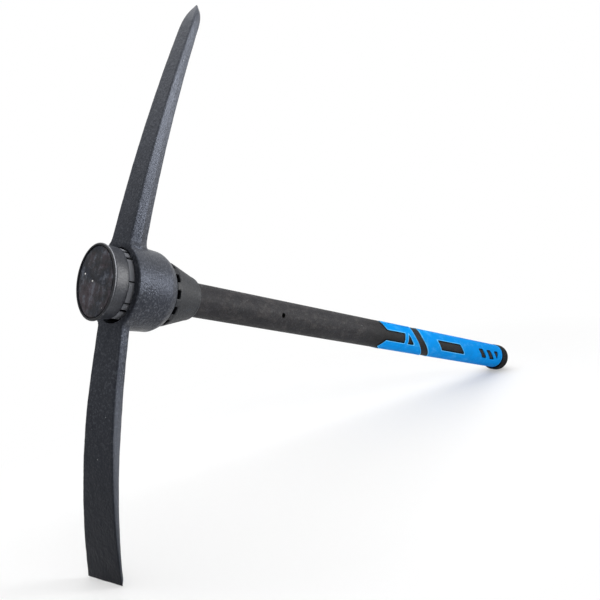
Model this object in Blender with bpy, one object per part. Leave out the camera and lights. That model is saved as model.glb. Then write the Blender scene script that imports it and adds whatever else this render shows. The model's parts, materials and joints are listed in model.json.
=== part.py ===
"""A pickaxe: a forged pick-and-mattock head on a plastic-clad fibreglass handle.

The tool is drawn in its own frame: +Y runs down the handle from the end disc,
+Z points to the tip of the pick and +X lies across the head. An empty then sets
the finished tool down on its mattock edge and its butt, with the pick up.
All sizes are in metres.
"""

import math

import bmesh
import bpy
from mathutils import Matrix, Vector

# Fit between pieces that touch, and how far cutters reach past what they cut
GAP = 0.0003
CUT_REACH = 0.060
EYE_OVERRUN = 0.006
MERGE_DISTANCE = 0.00001

# Roundness of the oval bodies and corners
HEAD_SEGMENTS = 64
SHAFT_SEGMENTS = 48
PIN_HOLE_SEGMENTS = 16
CORNER_STEPS = 3
SMOOTH_ANGLE = math.radians(35)

# Handle
HANDLE_LENGTH = 0.9065
SHAFT_HALF_WIDTH = 0.0170
SHAFT_HALF_DEPTH = 0.0181
JACKET_WALL = 0.0026
JACKET_TOP = 0.0050
PIN_HOLE_AT = 0.276
PIN_HOLE_RADIUS = 0.0030

# Eye of the head, wider at the front so that the plug wedges in it, and its walls
EYE_FRONT = 0.0250
EYE_LENGTH = 0.0585
EYE_FRONT_HALF_WIDTH = 0.0259
EYE_FRONT_HALF_DEPTH = 0.0367
EYE_REAR_HALF_WIDTH = 0.0243
EYE_REAR_HALF_DEPTH = 0.0308
BOSS_FRONT_SIDE_WALL = 0.0081
BOSS_FRONT_TOP_WALL = 0.0065
BOSS_REAR_SIDE_WALL = 0.0044
BOSS_REAR_TOP_WALL = 0.0032
BOSS_SIDE_DROP = 0.0008
BOSS_TOP_DROP = 0.0024
BOSS_ROUND_LENGTH = 0.0120
BOSS_ROUND_STEPS = 6

# Both arms: their soft edges, the most of a thin section that an edge may take,
# how much of the root fillet shows at the sides, and where a plain side bends
FORGED_EDGE = 0.0009
EDGE_SHARE = 0.2
SIDE_FLARE = 0.3
MIDDLE = 0.5
FILLET_STEPS = 4

# Pick arm
PICK_REACH = 0.3015
PICK_ROOT = 0.0400
PICK_ROOT_WIDTH = 0.0264
PICK_ROOT_DEPTH = 0.0248
PICK_POINT_LENGTH = 0.0315
PICK_SHOULDER_WIDTH = 0.0178
PICK_SHOULDER_DEPTH = 0.0134
PICK_LEAN = 0.1445
PICK_BEND_RADIUS = 1.50
PICK_BACK_DRAFT = 0.0012
PICK_RIDGE = 0.0023
PICK_RIDGE_PLACE = 0.50
PICK_RIDGE_LENGTH = 0.130
PICK_FILLET = 0.0085
PICK_TIP_WIDTH = 0.0012
PICK_TIP_PLACE = 0.42
PICK_FRONT_POWER = 2.7
PICK_BACK_POWER = 4.5
PICK_POINT_STEPS = 8
PICK_STEPS = 9

# Mattock arm
BLADE_REACH = 0.2840
BLADE_ROOT = 0.0380
BLADE_ROOT_WIDTH = 0.0338
BLADE_EDGE_WIDTH = 0.0488
BLADE_DEPTH = 0.0128
BLADE_THIN_DEPTH = 0.0044
BLADE_TAPER_LENGTH = 0.1575
BLADE_TAPER_POWER = 1.25
BLADE_BEVEL_HEIGHT = 0.0065
BLADE_EDGE_DEPTH = 0.0014
BLADE_STRAIGHT_LENGTH = 0.0400
BLADE_BEND_RADIUS = 0.610
BLADE_BACK_DRAFT = 0.0010
BLADE_FILLET = 0.0025
BLADE_STEPS = 12

# Swell plug, the flared plastic end that the head is driven up against. Its rim
# overhangs the eye a little, and its wall is set in from the rim
RIM_SIDE_OVERHANG = 0.0003
RIM_TOP_OVERHANG = 0.0006
RIM_THICKNESS = 0.0024
RIM_ROUND = 0.0010
PLUG_SIDE_SETBACK = 0.0012
PLUG_TOP_SETBACK = 0.0035
PLUG_WALL_TO_EYE = 0.0055
PLUG_STEP = 0.0008
PLUG_MOUTH_SIDE_CLEARANCE = 0.0010
PLUG_MOUTH_TOP_CLEARANCE = 0.0048
PLUG_DEPTH_IN_EYE = 0.0400
PLUG_SEAT_LENGTH = 0.0100
DISC_RIM_WIDTH = 0.0032
DISC_THICKNESS = 0.0024
DISC_SINK = 0.0005
DISC_EDGE = 0.0006
NOTCH_DEPTH = 0.0030
WIDE_NOTCH = 0.0026
THIN_NOTCH = 0.0012
# Notches along the plug: their angles up from its side, mirrored on the other, and widths
NOTCHES = (
    (64, WIDE_NOTCH), (47, WIDE_NOTCH), (6, THIN_NOTCH), (-31, THIN_NOTCH), (-47, WIDE_NOTCH),
)

# Locking collar behind the head
COLLAR_LENGTH = 0.0455
COLLAR_BAND_LENGTH = 0.0064
COLLAR_TOP_SETBACK = 0.0008
COLLAR_NECK_SIDE_WALL = 0.0043
COLLAR_NECK_TOP_WALL = 0.0054
COLLAR_NECK_ROUND = 0.0055
COLLAR_LIP = 0.0012
COLLAR_WALL = 0.0030
COLLAR_BORE_LENGTH = 0.0180
COLLAR_NOTCH_COUNT = 12
COLLAR_NOTCH_WIDTH = 0.0090
COLLAR_NOTCH_LENGTH = 0.0044

# Rubber grip, two sleeves sunk in the jacket
GRIP_SEAT_DEPTH = 0.0022
GRIP_PROUD = 0.0004
GRIP_EDGE = 0.0006
CREST_LENGTH = 0.0190
CREST_HALF_WIDTH = 0.0080
TONGUE_HALF_HEIGHT = 0.0062
TONGUE_FLARE_LENGTH = 0.0105
TONGUE_FLARE_HEIGHT = 0.0105

# Windows of the grip, from its front to its rear, and the band between the sleeves
WINDOW_TOP = 0.0055
WINDOW_BOTTOM = -0.0064
WINDOW_LEAN = 1.35
WINDOW_CORNER = 0.0006
TONGUE_LENGTH = 0.0580
TONGUE_TO_TRIANGLE = 0.0105
TRIANGLE_TO_BAND = 0.0405
BAND_LENGTH = 0.0210
BAND_FRONT_LEAN = 1.50
BAND_REAR_LEAN = 1.65
BAND_BOW = 0.87
BAND_TIP_REACH = 0.0180
BAND_TO_LONG_WINDOW = 0.0240
LONG_WINDOW_LENGTH = 0.0725
LONG_WINDOW_TO_HATCHES = 0.0645
HATCH_LENGTH = 0.0138
HATCH_PITCH = 0.0280
LAST_HATCH_LENGTH = 0.0140
HATCHES_TO_GRIP_END = 0.0178

# Butt cap, which stands a little proud of the grip and hangs lower than it
BUTT_LENGTH = 0.0274
BUTT_SIDE_PROUD = 0.0016
BUTT_TOP_PROUD = 0.0022
BUTT_HANG = 0.0012
BUTT_RIM_LENGTH = 0.0150
BUTT_DOME_SIDE_DROP = 0.0060
BUTT_DOME_TOP_DROP = 0.0060
BUTT_DOME_STEPS = 6
BUTT_SOCKET_DEPTH = 0.0150
BUTT_EDGE = 0.0006

# Places and sizes that follow from the ones above
EYE_REAR = EYE_FRONT + EYE_LENGTH
ARM_BASE = EYE_FRONT_HALF_DEPTH / 2
PICK_SHOULDER = PICK_REACH - PICK_POINT_LENGTH
BLADE_BEVEL_START = BLADE_REACH - BLADE_BEVEL_HEIGHT
BLADE_TAPER_START = BLADE_BEVEL_START - BLADE_TAPER_LENGTH
BLADE_BEND_START = BLADE_ROOT + BLADE_STRAIGHT_LENGTH
RIM_HALF_WIDTH = EYE_FRONT_HALF_WIDTH + RIM_SIDE_OVERHANG
RIM_HALF_DEPTH = EYE_FRONT_HALF_DEPTH + RIM_TOP_OVERHANG
PLUG_WALL_END = EYE_FRONT - PLUG_WALL_TO_EYE
COLLAR_HALF_WIDTH = EYE_REAR_HALF_WIDTH + BOSS_REAR_SIDE_WALL
COLLAR_HALF_DEPTH = EYE_REAR_HALF_DEPTH + BOSS_REAR_TOP_WALL - COLLAR_TOP_SETBACK
SEAT_HALF_WIDTH = SHAFT_HALF_WIDTH - GRIP_SEAT_DEPTH
SEAT_HALF_DEPTH = SHAFT_HALF_DEPTH - GRIP_SEAT_DEPTH
CORE_RADIUS = SEAT_HALF_WIDTH - JACKET_WALL
BUTT_START = HANDLE_LENGTH - BUTT_LENGTH
GRIP_END = BUTT_START - GAP
LAST_HATCH_END = GRIP_END - HATCHES_TO_GRIP_END
LAST_HATCH_START = LAST_HATCH_END - LAST_HATCH_LENGTH
HATCH_START = LAST_HATCH_START - 2 * HATCH_PITCH
LONG_WINDOW_START = HATCH_START - LONG_WINDOW_TO_HATCHES - LONG_WINDOW_LENGTH
BAND_END = LONG_WINDOW_START - BAND_TO_LONG_WINDOW
BAND_START = BAND_END - BAND_LENGTH
TRIANGLE_START = BAND_START - TRIANGLE_TO_BAND
TONGUE_END = TRIANGLE_START - TONGUE_TO_TRIANGLE
GRIP_START = TONGUE_END - TONGUE_LENGTH
FRONT_GRIP_END = BAND_START + BAND_TIP_REACH
REAR_GRIP_START = BAND_END - BAND_TIP_REACH
BUTT_SOCKET_END = BUTT_START + BUTT_SOCKET_DEPTH
JACKET_END = BUTT_SOCKET_END - GAP
CORE_START = JACKET_TOP + GAP
CORE_END = JACKET_END - GAP


def clear_scene():
    for item in list(bpy.data.objects):
        bpy.data.objects.remove(item, do_unlink=True)


def new_collection(name):
    collection = bpy.data.collections.new(name)
    bpy.context.scene.collection.children.link(collection)
    return collection


def make_material(name, colour, roughness, metallic=0.0):
    material = bpy.data.materials.new(name)
    material.use_nodes = True
    shader = material.node_tree.nodes["Principled BSDF"]
    shader.inputs["Base Color"].default_value = (*colour, 1.0)
    shader.inputs["Roughness"].default_value = roughness
    shader.inputs["Metallic"].default_value = metallic
    material.diffuse_color = (*colour, 1.0)
    return material


def mesh_object(name, form, collection):
    """Turn a closed bmesh into an object with its faces outwards, and free the bmesh."""
    bmesh.ops.recalc_face_normals(form, faces=form.faces)
    if form.calc_volume(signed=True) < 0:
        bmesh.ops.reverse_faces(form, faces=form.faces)
    mesh = bpy.data.meshes.new(name)
    form.to_mesh(mesh)
    form.free()
    item = bpy.data.objects.new(name, mesh)
    collection.objects.link(item)
    return item


def loft(name, rings, collection, closed=False):
    """Skin a row of equal rings; a closed one joins its last ring to its first."""
    form = bmesh.new()
    rows = [[form.verts.new(point) for point in ring] for ring in rings]
    count = len(rings[0])
    following = rows[1:] + rows[:1] if closed else rows[1:]
    for near, far in zip(rows, following):
        for i in range(count):
            j = (i + 1) % count
            form.faces.new((near[i], near[j], far[j], far[i]))
    if not closed:
        form.faces.new(rows[0])
        form.faces.new(rows[-1])
    return mesh_object(name, form, collection)


def oval(y, half_width, half_depth, segments):
    """An oval ring whose corners stay clear of the tool's middle planes."""
    angles = [2 * math.pi * (i + 0.5) / segments for i in range(segments)]
    return [(half_width * math.cos(a), y, half_depth * math.sin(a)) for a in angles]


def oval_loft(name, stations, segments, collection, closed=False):
    """Skin ovals square to the handle; each station is its place and two half sizes."""
    rings = [oval(*station, segments) for station in stations]
    return loft(name, rings, collection, closed)


def oval_tube(name, start, end, outer, inner, segments, collection):
    """A straight oval tube; outer and inner are pairs of half sizes."""
    stations = [(start, *outer), (end, *outer), (end, *inner), (start, *inner)]
    return oval_loft(name, stations, segments, collection, closed=True)


def offset_outline(points, distance):
    """Move every edge of an anticlockwise outline out by the distance."""
    corners = [Vector(point) for point in points]
    moved = []
    for i, corner in enumerate(corners):
        before = (corner - corners[i - 1]).normalized()
        after = (corners[(i + 1) % len(corners)] - corner).normalized()
        out_before = Vector((before.y, -before.x))
        out_after = Vector((after.y, -after.x))
        mitre = (out_before + out_after) / (1 + out_before.dot(out_after))
        moved.append(corner + mitre * distance)
    return moved


def rounded_outline(points, radius):
    """Replace each corner of an outline with an arc of the radius."""
    corners = [Vector(point) for point in points]
    outline = []
    for i, corner in enumerate(corners):
        back = (corners[i - 1] - corner).normalized()
        ahead = (corners[(i + 1) % len(corners)] - corner).normalized()
        half = back.angle(ahead) / 2
        centre = corner + (back + ahead).normalized() * radius / math.sin(half)
        first = corner + back * radius / math.tan(half) - centre
        turn = first.angle_signed(corner + ahead * radius / math.tan(half) - centre)
        for step in range(CORNER_STEPS + 1):
            arm = first.copy()
            arm.rotate(Matrix.Rotation(-turn * step / CORNER_STEPS, 2))
            outline.append(centre + arm)
    return outline


def prism(name, outline, half_thickness, matrix, collection):
    """A flat outline thickened both ways, as a mesh in the tool's frame."""
    curve = bpy.data.curves.new(name, "CURVE")
    curve.dimensions = "2D"
    curve.fill_mode = "BOTH"
    curve.extrude = half_thickness
    spline = curve.splines.new("POLY")
    spline.points.add(len(outline) - 1)
    for point, place in zip(spline.points, outline):
        point.co = (place[0], place[1], 0.0, 1.0)
    spline.use_cyclic_u = True
    drawn = bpy.data.objects.new(name + "_outline", curve)
    collection.objects.link(drawn)
    bpy.context.view_layer.update()
    evaluated = drawn.evaluated_get(bpy.context.evaluated_depsgraph_get())
    mesh = bpy.data.meshes.new_from_object(evaluated)
    bpy.data.objects.remove(drawn, do_unlink=True)
    form = bmesh.new()
    form.from_mesh(mesh)
    bpy.data.meshes.remove(mesh)
    bmesh.ops.remove_doubles(form, verts=form.verts, dist=MERGE_DISTANCE)
    form.transform(matrix)
    return mesh_object(name, form, collection)


def box(name, size, matrix, collection):
    form = bmesh.new()
    bmesh.ops.create_cube(form, size=1.0, matrix=matrix @ Matrix.Diagonal((*size, 1.0)))
    return mesh_object(name, form, collection)


def rod(name, radius, length, matrix, segments, collection):
    form = bmesh.new()
    bmesh.ops.create_cone(
        form, cap_ends=True, segments=segments, radius1=radius, radius2=radius,
        depth=length, matrix=matrix,
    )
    return mesh_object(name, form, collection)


def as_cutter(item):
    item.hide_render = True
    item.display_type = "WIRE"
    return item


def combine(item, other, operation):
    """Add, cut or keep the other solid with an exact Boolean."""
    modifier = item.modifiers.new(other.name, "BOOLEAN")
    modifier.operation = operation
    modifier.solver = "EXACT"
    modifier.object = as_cutter(other)
    return item


def finish(item, material):
    item.data.materials.append(material)
    item.data.shade_smooth()
    item.data.set_sharp_from_angle(angle=SMOOTH_ANGLE)
    return item


# The head

def arm_section(height, front, width, depth, flare, back_draft, ridge, ridge_place):
    """Ten points round an arm: front corners, side ridges and back corners."""
    edge = min(FORGED_EDGE, width * EDGE_SHARE, depth * EDGE_SHARE)
    half = width / 2 + flare * SIDE_FLARE
    back_half = half - min(back_draft, width * EDGE_SHARE)
    back = front + depth + flare
    corner = edge + flare
    side = [
        (half - edge, front),
        (half, front + edge),
        (half + ridge, front + depth * ridge_place),
        (back_half, back - corner),
        (back_half - corner, back),
    ]
    left = [(-x, y) for x, y in reversed(side)]
    return [(x, y, height) for x, y in side + left]


def fillet(height, root, radius):
    """How far a concave root fillet stands out at a height above the root."""
    rise = min(max(height - root, 0.0), radius)
    return radius - math.sqrt(radius ** 2 - (radius - rise) ** 2)


def spread(start, end, steps):
    return [start + (end - start) * i / steps for i in range(steps + 1)]


def pick_front(height):
    run = max(height - PICK_ROOT, 0.0)
    return EYE_FRONT + PICK_LEAN * run + run ** 2 / (2 * PICK_BEND_RADIUS)


def pick_section(height):
    share = (height - PICK_ROOT) / (PICK_SHOULDER - PICK_ROOT)
    width = PICK_ROOT_WIDTH + (PICK_SHOULDER_WIDTH - PICK_ROOT_WIDTH) * share
    depth = PICK_ROOT_DEPTH + (PICK_SHOULDER_DEPTH - PICK_ROOT_DEPTH) * share
    front = pick_front(height)
    flare = fillet(height, PICK_ROOT, PICK_FILLET)
    ridge = PICK_RIDGE * max(0.0, 1 - (height - PICK_ROOT) / PICK_RIDGE_LENGTH)
    if height > PICK_SHOULDER:
        climb = (height - PICK_SHOULDER) / PICK_POINT_LENGTH
        apex = front + depth * PICK_TIP_PLACE
        back = front + depth
        front += (apex - PICK_TIP_WIDTH / 2 - front) * climb ** PICK_FRONT_POWER
        back += (apex + PICK_TIP_WIDTH / 2 - back) * climb ** PICK_BACK_POWER
        depth = back - front
        width += (PICK_TIP_WIDTH - width) * climb ** PICK_FRONT_POWER
    return arm_section(
        height, front, width, depth, flare, PICK_BACK_DRAFT, ridge, PICK_RIDGE_PLACE)


def make_pick_arm(collection):
    """The pick, lofted from inside the boss to its tip."""
    fillet_end = PICK_ROOT + PICK_FILLET
    root = spread(PICK_ROOT, fillet_end, FILLET_STEPS)
    shank = spread(fillet_end, PICK_SHOULDER, PICK_STEPS)
    point = spread(PICK_SHOULDER, PICK_REACH, PICK_POINT_STEPS)
    base = arm_section(
        ARM_BASE, EYE_FRONT, PICK_ROOT_WIDTH, PICK_ROOT_DEPTH, 0.0, PICK_BACK_DRAFT,
        PICK_RIDGE, PICK_RIDGE_PLACE)
    rings = [pick_section(z) for z in root[:-1] + shank[:-1] + point]
    return loft("pick_arm", [base] + rings, collection)


def blade_section(height):
    share = (height - BLADE_ROOT) / (BLADE_REACH - BLADE_ROOT)
    width = BLADE_ROOT_WIDTH + (BLADE_EDGE_WIDTH - BLADE_ROOT_WIDTH) * share
    run = max(height - BLADE_BEND_START, 0.0)
    front = EYE_FRONT + BLADE_BEND_RADIUS - math.sqrt(BLADE_BEND_RADIUS ** 2 - run ** 2)
    taper = min(max((height - BLADE_TAPER_START) / BLADE_TAPER_LENGTH, 0.0), 1.0)
    depth = BLADE_DEPTH + (BLADE_THIN_DEPTH - BLADE_DEPTH) * taper ** BLADE_TAPER_POWER
    if height > BLADE_BEVEL_START:
        depth = BLADE_EDGE_DEPTH
    flare = fillet(height, BLADE_ROOT, BLADE_FILLET)
    return arm_section(-height, front, width, depth, flare, BLADE_BACK_DRAFT, 0.0, MIDDLE)


def make_blade_arm(collection):
    """The mattock blade, lofted from inside the boss to its cutting edge."""
    fillet_end = BLADE_ROOT + BLADE_FILLET
    root = spread(BLADE_ROOT, fillet_end, FILLET_STEPS)
    shank = spread(fillet_end, BLADE_BEVEL_START, BLADE_STEPS)
    base = arm_section(
        -ARM_BASE, EYE_FRONT, BLADE_ROOT_WIDTH, BLADE_DEPTH, 0.0, BLADE_BACK_DRAFT,
        0.0, MIDDLE)
    rings = [blade_section(z) for z in root[:-1] + shank + [BLADE_REACH]]
    return loft("blade_arm", [base] + rings, collection)


def make_boss(collection):
    """The oval body of the head, rounded in at the rear."""
    straight_end = EYE_REAR - BOSS_ROUND_LENGTH
    width = EYE_FRONT_HALF_WIDTH + BOSS_FRONT_SIDE_WALL
    depth = EYE_FRONT_HALF_DEPTH + BOSS_FRONT_TOP_WALL
    rear_width = EYE_REAR_HALF_WIDTH + BOSS_REAR_SIDE_WALL
    rear_depth = EYE_REAR_HALF_DEPTH + BOSS_REAR_TOP_WALL
    stations = [
        (EYE_FRONT, width - FORGED_EDGE, depth - FORGED_EDGE),
        (EYE_FRONT + FORGED_EDGE, width, depth),
    ]
    width -= BOSS_SIDE_DROP
    depth -= BOSS_TOP_DROP
    for i in range(BOSS_ROUND_STEPS + 1):
        turn = math.pi / 2 * i / BOSS_ROUND_STEPS
        drop = 1 - math.cos(turn)
        stations.append((
            straight_end + BOSS_ROUND_LENGTH * math.sin(turn),
            width + (rear_width - width) * drop,
            depth + (rear_depth - depth) * drop,
        ))
    return oval_loft("pick_head", stations, HEAD_SEGMENTS, collection)


def eye_half_sizes(y):
    """The eye tapers evenly from front to rear."""
    share = (y - EYE_FRONT) / EYE_LENGTH
    width = EYE_FRONT_HALF_WIDTH + (EYE_REAR_HALF_WIDTH - EYE_FRONT_HALF_WIDTH) * share
    depth = EYE_FRONT_HALF_DEPTH + (EYE_REAR_HALF_DEPTH - EYE_FRONT_HALF_DEPTH) * share
    return width, depth


def make_head(parts, cutters):
    head = make_boss(parts)
    combine(head, make_pick_arm(cutters), "UNION")
    combine(head, make_blade_arm(cutters), "UNION")
    ends = (EYE_FRONT - EYE_OVERRUN, EYE_REAR + EYE_OVERRUN)
    stations = [(y, *eye_half_sizes(y)) for y in ends]
    eye = oval_loft("eye", stations, HEAD_SEGMENTS, cutters)
    return combine(head, eye, "DIFFERENCE")


# The head end of the handle

def facing_out(turn, half_width, half_depth):
    """Matrix that stands a cutter on an oval's edge, its local X pointing out of it."""
    place = Vector((half_width * math.cos(turn), 0.0, half_depth * math.sin(turn)))
    facing = math.atan2(math.sin(turn) / half_depth, math.cos(turn) / half_width)
    return Matrix.Translation(place) @ Matrix.Rotation(-facing, 4, "Y")


def make_swell_plug(parts, cutters):
    """The flared end of the handle: a rim, a wall and a notched nose inside the eye."""
    bore = (SHAFT_HALF_WIDTH + GAP, SHAFT_HALF_DEPTH + GAP)
    disc_seat = (RIM_HALF_WIDTH - DISC_RIM_WIDTH, RIM_HALF_DEPTH - DISC_RIM_WIDTH)
    seat_floor = DISC_SINK + DISC_THICKNESS + GAP
    wall = (RIM_HALF_WIDTH - PLUG_SIDE_SETBACK, RIM_HALF_DEPTH - PLUG_TOP_SETBACK)
    tier = (wall[0] - PLUG_STEP, wall[1] - PLUG_STEP)
    nose_at = EYE_FRONT + PLUG_DEPTH_IN_EYE
    seat_at = nose_at - PLUG_SEAT_LENGTH
    mouth = eye_half_sizes(EYE_FRONT)
    seat = eye_half_sizes(seat_at)
    nose = eye_half_sizes(nose_at)
    stations = [
        (0.0, RIM_HALF_WIDTH - RIM_ROUND, RIM_HALF_DEPTH - RIM_ROUND),
        (RIM_ROUND, RIM_HALF_WIDTH, RIM_HALF_DEPTH),
        (RIM_THICKNESS, RIM_HALF_WIDTH, RIM_HALF_DEPTH),
        (RIM_THICKNESS + RIM_ROUND, *wall),
        (PLUG_WALL_END, *wall),
        (PLUG_WALL_END + PLUG_STEP, *tier),
        (EYE_FRONT, mouth[0] - PLUG_MOUTH_SIDE_CLEARANCE, mouth[1] - PLUG_MOUTH_TOP_CLEARANCE),
        (seat_at, seat[0] - GAP, seat[1] - GAP),
        (nose_at, nose[0] - GAP, nose[1] - GAP),
        (nose_at, *bore),
        (seat_floor, *bore),
        (seat_floor, *disc_seat),
        (0.0, *disc_seat),
    ]
    plug = oval_loft("swell_plug", stations, HEAD_SEGMENTS, parts, closed=True)
    length = nose_at - PLUG_WALL_END
    along = Matrix.Translation((0, PLUG_WALL_END + (PLUG_STEP + length) / 2, 0))
    for angle, width in NOTCHES:
        for turn in (angle, 180 - angle):
            matrix = along @ facing_out(math.radians(turn), *tier)
            size = (2 * NOTCH_DEPTH, length, width)
            combine(plug, box(f"notch_{turn}", size, matrix, cutters), "DIFFERENCE")
    return plug


def make_end_disc(parts):
    half_width = RIM_HALF_WIDTH - DISC_RIM_WIDTH - GAP
    half_depth = RIM_HALF_DEPTH - DISC_RIM_WIDTH - GAP
    stations = [
        (DISC_SINK, half_width - DISC_EDGE, half_depth - DISC_EDGE),
        (DISC_SINK + DISC_EDGE, half_width, half_depth),
        (DISC_SINK + DISC_THICKNESS, half_width, half_depth),
    ]
    return oval_loft("end_disc", stations, HEAD_SEGMENTS, parts)


def make_collar(parts, cutters):
    """The cone behind the head, hollow in front and notched round its front edge."""
    start = EYE_REAR + GAP
    end = start + COLLAR_LENGTH
    bore = (SHAFT_HALF_WIDTH + GAP, SHAFT_HALF_DEPTH + GAP)
    neck = (SHAFT_HALF_WIDTH + COLLAR_NECK_SIDE_WALL, SHAFT_HALF_DEPTH + COLLAR_NECK_TOP_WALL)
    neck_at = end - COLLAR_NECK_ROUND
    hollow = (COLLAR_HALF_WIDTH - COLLAR_WALL, COLLAR_HALF_DEPTH - COLLAR_WALL)
    band_end = start + COLLAR_BAND_LENGTH
    stations = [
        (start, COLLAR_HALF_WIDTH, COLLAR_HALF_DEPTH),
        (band_end, COLLAR_HALF_WIDTH, COLLAR_HALF_DEPTH),
        (neck_at, *neck),
    ]
    for i in range(1, CORNER_STEPS + 1):
        turn = math.pi / 2 * i / CORNER_STEPS
        drop = 1 - math.cos(turn)
        stations.append((
            neck_at + COLLAR_NECK_ROUND * math.sin(turn),
            neck[0] + (bore[0] + COLLAR_LIP - neck[0]) * drop,
            neck[1] + (bore[1] + COLLAR_LIP - neck[1]) * drop,
        ))
    stations += [
        (end, *bore),
        (end - COLLAR_BORE_LENGTH, *bore),
        (band_end, *hollow),
        (start, *hollow),
    ]
    collar = oval_loft("locking_collar", stations, HEAD_SEGMENTS, parts, closed=True)
    along = Matrix.Translation((0, start, 0))
    size = (4 * COLLAR_WALL, 2 * COLLAR_NOTCH_LENGTH, COLLAR_NOTCH_WIDTH)
    for i in range(COLLAR_NOTCH_COUNT):
        turn = 2 * math.pi * i / COLLAR_NOTCH_COUNT
        matrix = along @ facing_out(turn, COLLAR_HALF_WIDTH, COLLAR_HALF_DEPTH)
        combine(collar, box(f"collar_notch_{i}", size, matrix, cutters), "DIFFERENCE")
    return collar


# The shaft and its grips

ALONG_SIDE = Matrix(((0, 0, 1, 0), (1, 0, 0, 0), (0, 1, 0, 0), (0, 0, 0, 1)))
FROM_ABOVE = Matrix.Identity(4)


def slanted(start_at_top, length):
    """A window whose ends lean back as they come down the side of the handle."""
    lean = (WINDOW_TOP - WINDOW_BOTTOM) * WINDOW_LEAN
    return [
        (start_at_top + lean, WINDOW_BOTTOM),
        (start_at_top + lean + length, WINDOW_BOTTOM),
        (start_at_top + length, WINDOW_TOP),
        (start_at_top, WINDOW_TOP),
    ]


def tongue_outline():
    """The dark tongue that runs into the front of the grip."""
    wide = TONGUE_HALF_HEIGHT + TONGUE_FLARE_HEIGHT
    lead = GRIP_START - TONGUE_FLARE_LENGTH
    narrow = GRIP_START + TONGUE_FLARE_LENGTH
    return [
        (lead, -wide),
        (GRIP_START, -wide),
        (narrow, -TONGUE_HALF_HEIGHT),
        (TONGUE_END, -TONGUE_HALF_HEIGHT),
        (TONGUE_END, TONGUE_HALF_HEIGHT),
        (narrow, TONGUE_HALF_HEIGHT),
        (GRIP_START, wide),
        (lead, wide),
    ]


def crest_outline():
    """The dark point that runs into the front of the grip above and below."""
    lead = GRIP_START - TONGUE_FLARE_LENGTH
    return [
        (CREST_HALF_WIDTH, lead),
        (CREST_HALF_WIDTH, GRIP_START),
        (0.0, GRIP_START + CREST_LENGTH),
        (-CREST_HALF_WIDTH, GRIP_START),
        (-CREST_HALF_WIDTH, lead),
    ]


def front_windows():
    """Openings of the front grip: the way each is cut through, and its outline."""
    lean = (WINDOW_TOP - WINDOW_BOTTOM) * WINDOW_LEAN
    triangle = [
        (TRIANGLE_START, WINDOW_BOTTOM),
        (TRIANGLE_START + lean, WINDOW_BOTTOM),
        (TRIANGLE_START, WINDOW_TOP),
    ]
    return {
        "tongue": (ALONG_SIDE, tongue_outline()),
        "crest": (FROM_ABOVE, crest_outline()),
        "triangle": (ALONG_SIDE, triangle),
    }


def rear_windows():
    """Openings of the rear grip, given as for the front grip."""
    last_drop = LAST_HATCH_LENGTH / WINDOW_LEAN
    last_hatch = [
        (LAST_HATCH_END, WINDOW_TOP - last_drop),
        (LAST_HATCH_END, WINDOW_TOP),
        (LAST_HATCH_START, WINDOW_TOP),
    ]
    return {
        "long_window": (ALONG_SIDE, slanted(LONG_WINDOW_START, LONG_WINDOW_LENGTH)),
        "hatch_1": (ALONG_SIDE, slanted(HATCH_START, HATCH_LENGTH)),
        "hatch_2": (ALONG_SIDE, slanted(HATCH_START + HATCH_PITCH, HATCH_LENGTH)),
        "hatch_3": (ALONG_SIDE, last_hatch),
    }


def band_prism(name, near, far, near_bow, far_bow, lean, collection):
    """A leaning slab right across the handle, whose ends may bow at the middle."""
    side = CUT_REACH
    outline = [
        (side, near - near_bow * side),
        (side, far - far_bow * side),
        (0.0, far),
        (-side, far - far_bow * side),
        (-side, near - near_bow * side),
        (0.0, near),
    ]
    shear = Matrix.Identity(4)
    shear[1][2] = -lean
    return prism(name, outline, CUT_REACH, shear, collection)


def band_slack(clearance, lean):
    """How far the band's leaning edge moves along the handle to clear it squarely."""
    return clearance * math.sqrt(1 + lean ** 2 + BAND_BOW ** 2)


def past_band(name, clearance, collection):
    """All that lies behind the front edge of the band."""
    near = BAND_START + band_slack(clearance, BAND_FRONT_LEAN)
    return band_prism(
        name, near, near + HANDLE_LENGTH, BAND_BOW, 0.0, BAND_FRONT_LEAN, collection)


def before_band(name, clearance, collection):
    """All that lies in front of the rear edge of the band."""
    far = BAND_END - band_slack(clearance, BAND_REAR_LEAN)
    return band_prism(
        name, far - HANDLE_LENGTH, far, 0.0, BAND_BOW, BAND_REAR_LEAN, collection)


def shape_grip(grip, windows, band, clearance, cutters):
    """Cut a sleeve, or the pocket that takes it, by its windows and by the band."""
    for window, (direction, outline) in windows.items():
        corner = WINDOW_CORNER - clearance
        edge = rounded_outline(offset_outline(outline, -clearance), corner)
        opening = prism(f"{grip.name}_{window}", edge, CUT_REACH, direction, cutters)
        combine(grip, opening, "DIFFERENCE")
    return combine(grip, band, "DIFFERENCE")


def make_pocket(name, start, end, windows, band, cutters):
    """The seat of a sleeve, which leaves the jacket standing in the sleeve's windows.

    It is round outside, so that the corners of its ends miss those of the shaft.
    """
    reach = max(SHAFT_HALF_WIDTH, SHAFT_HALF_DEPTH) + GRIP_SEAT_DEPTH
    seat = (SEAT_HALF_WIDTH, SEAT_HALF_DEPTH)
    pocket = oval_tube(name, start, end, (reach, reach), seat, SHAFT_SEGMENTS, cutters)
    return shape_grip(pocket, windows, band, GAP, cutters)


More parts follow.
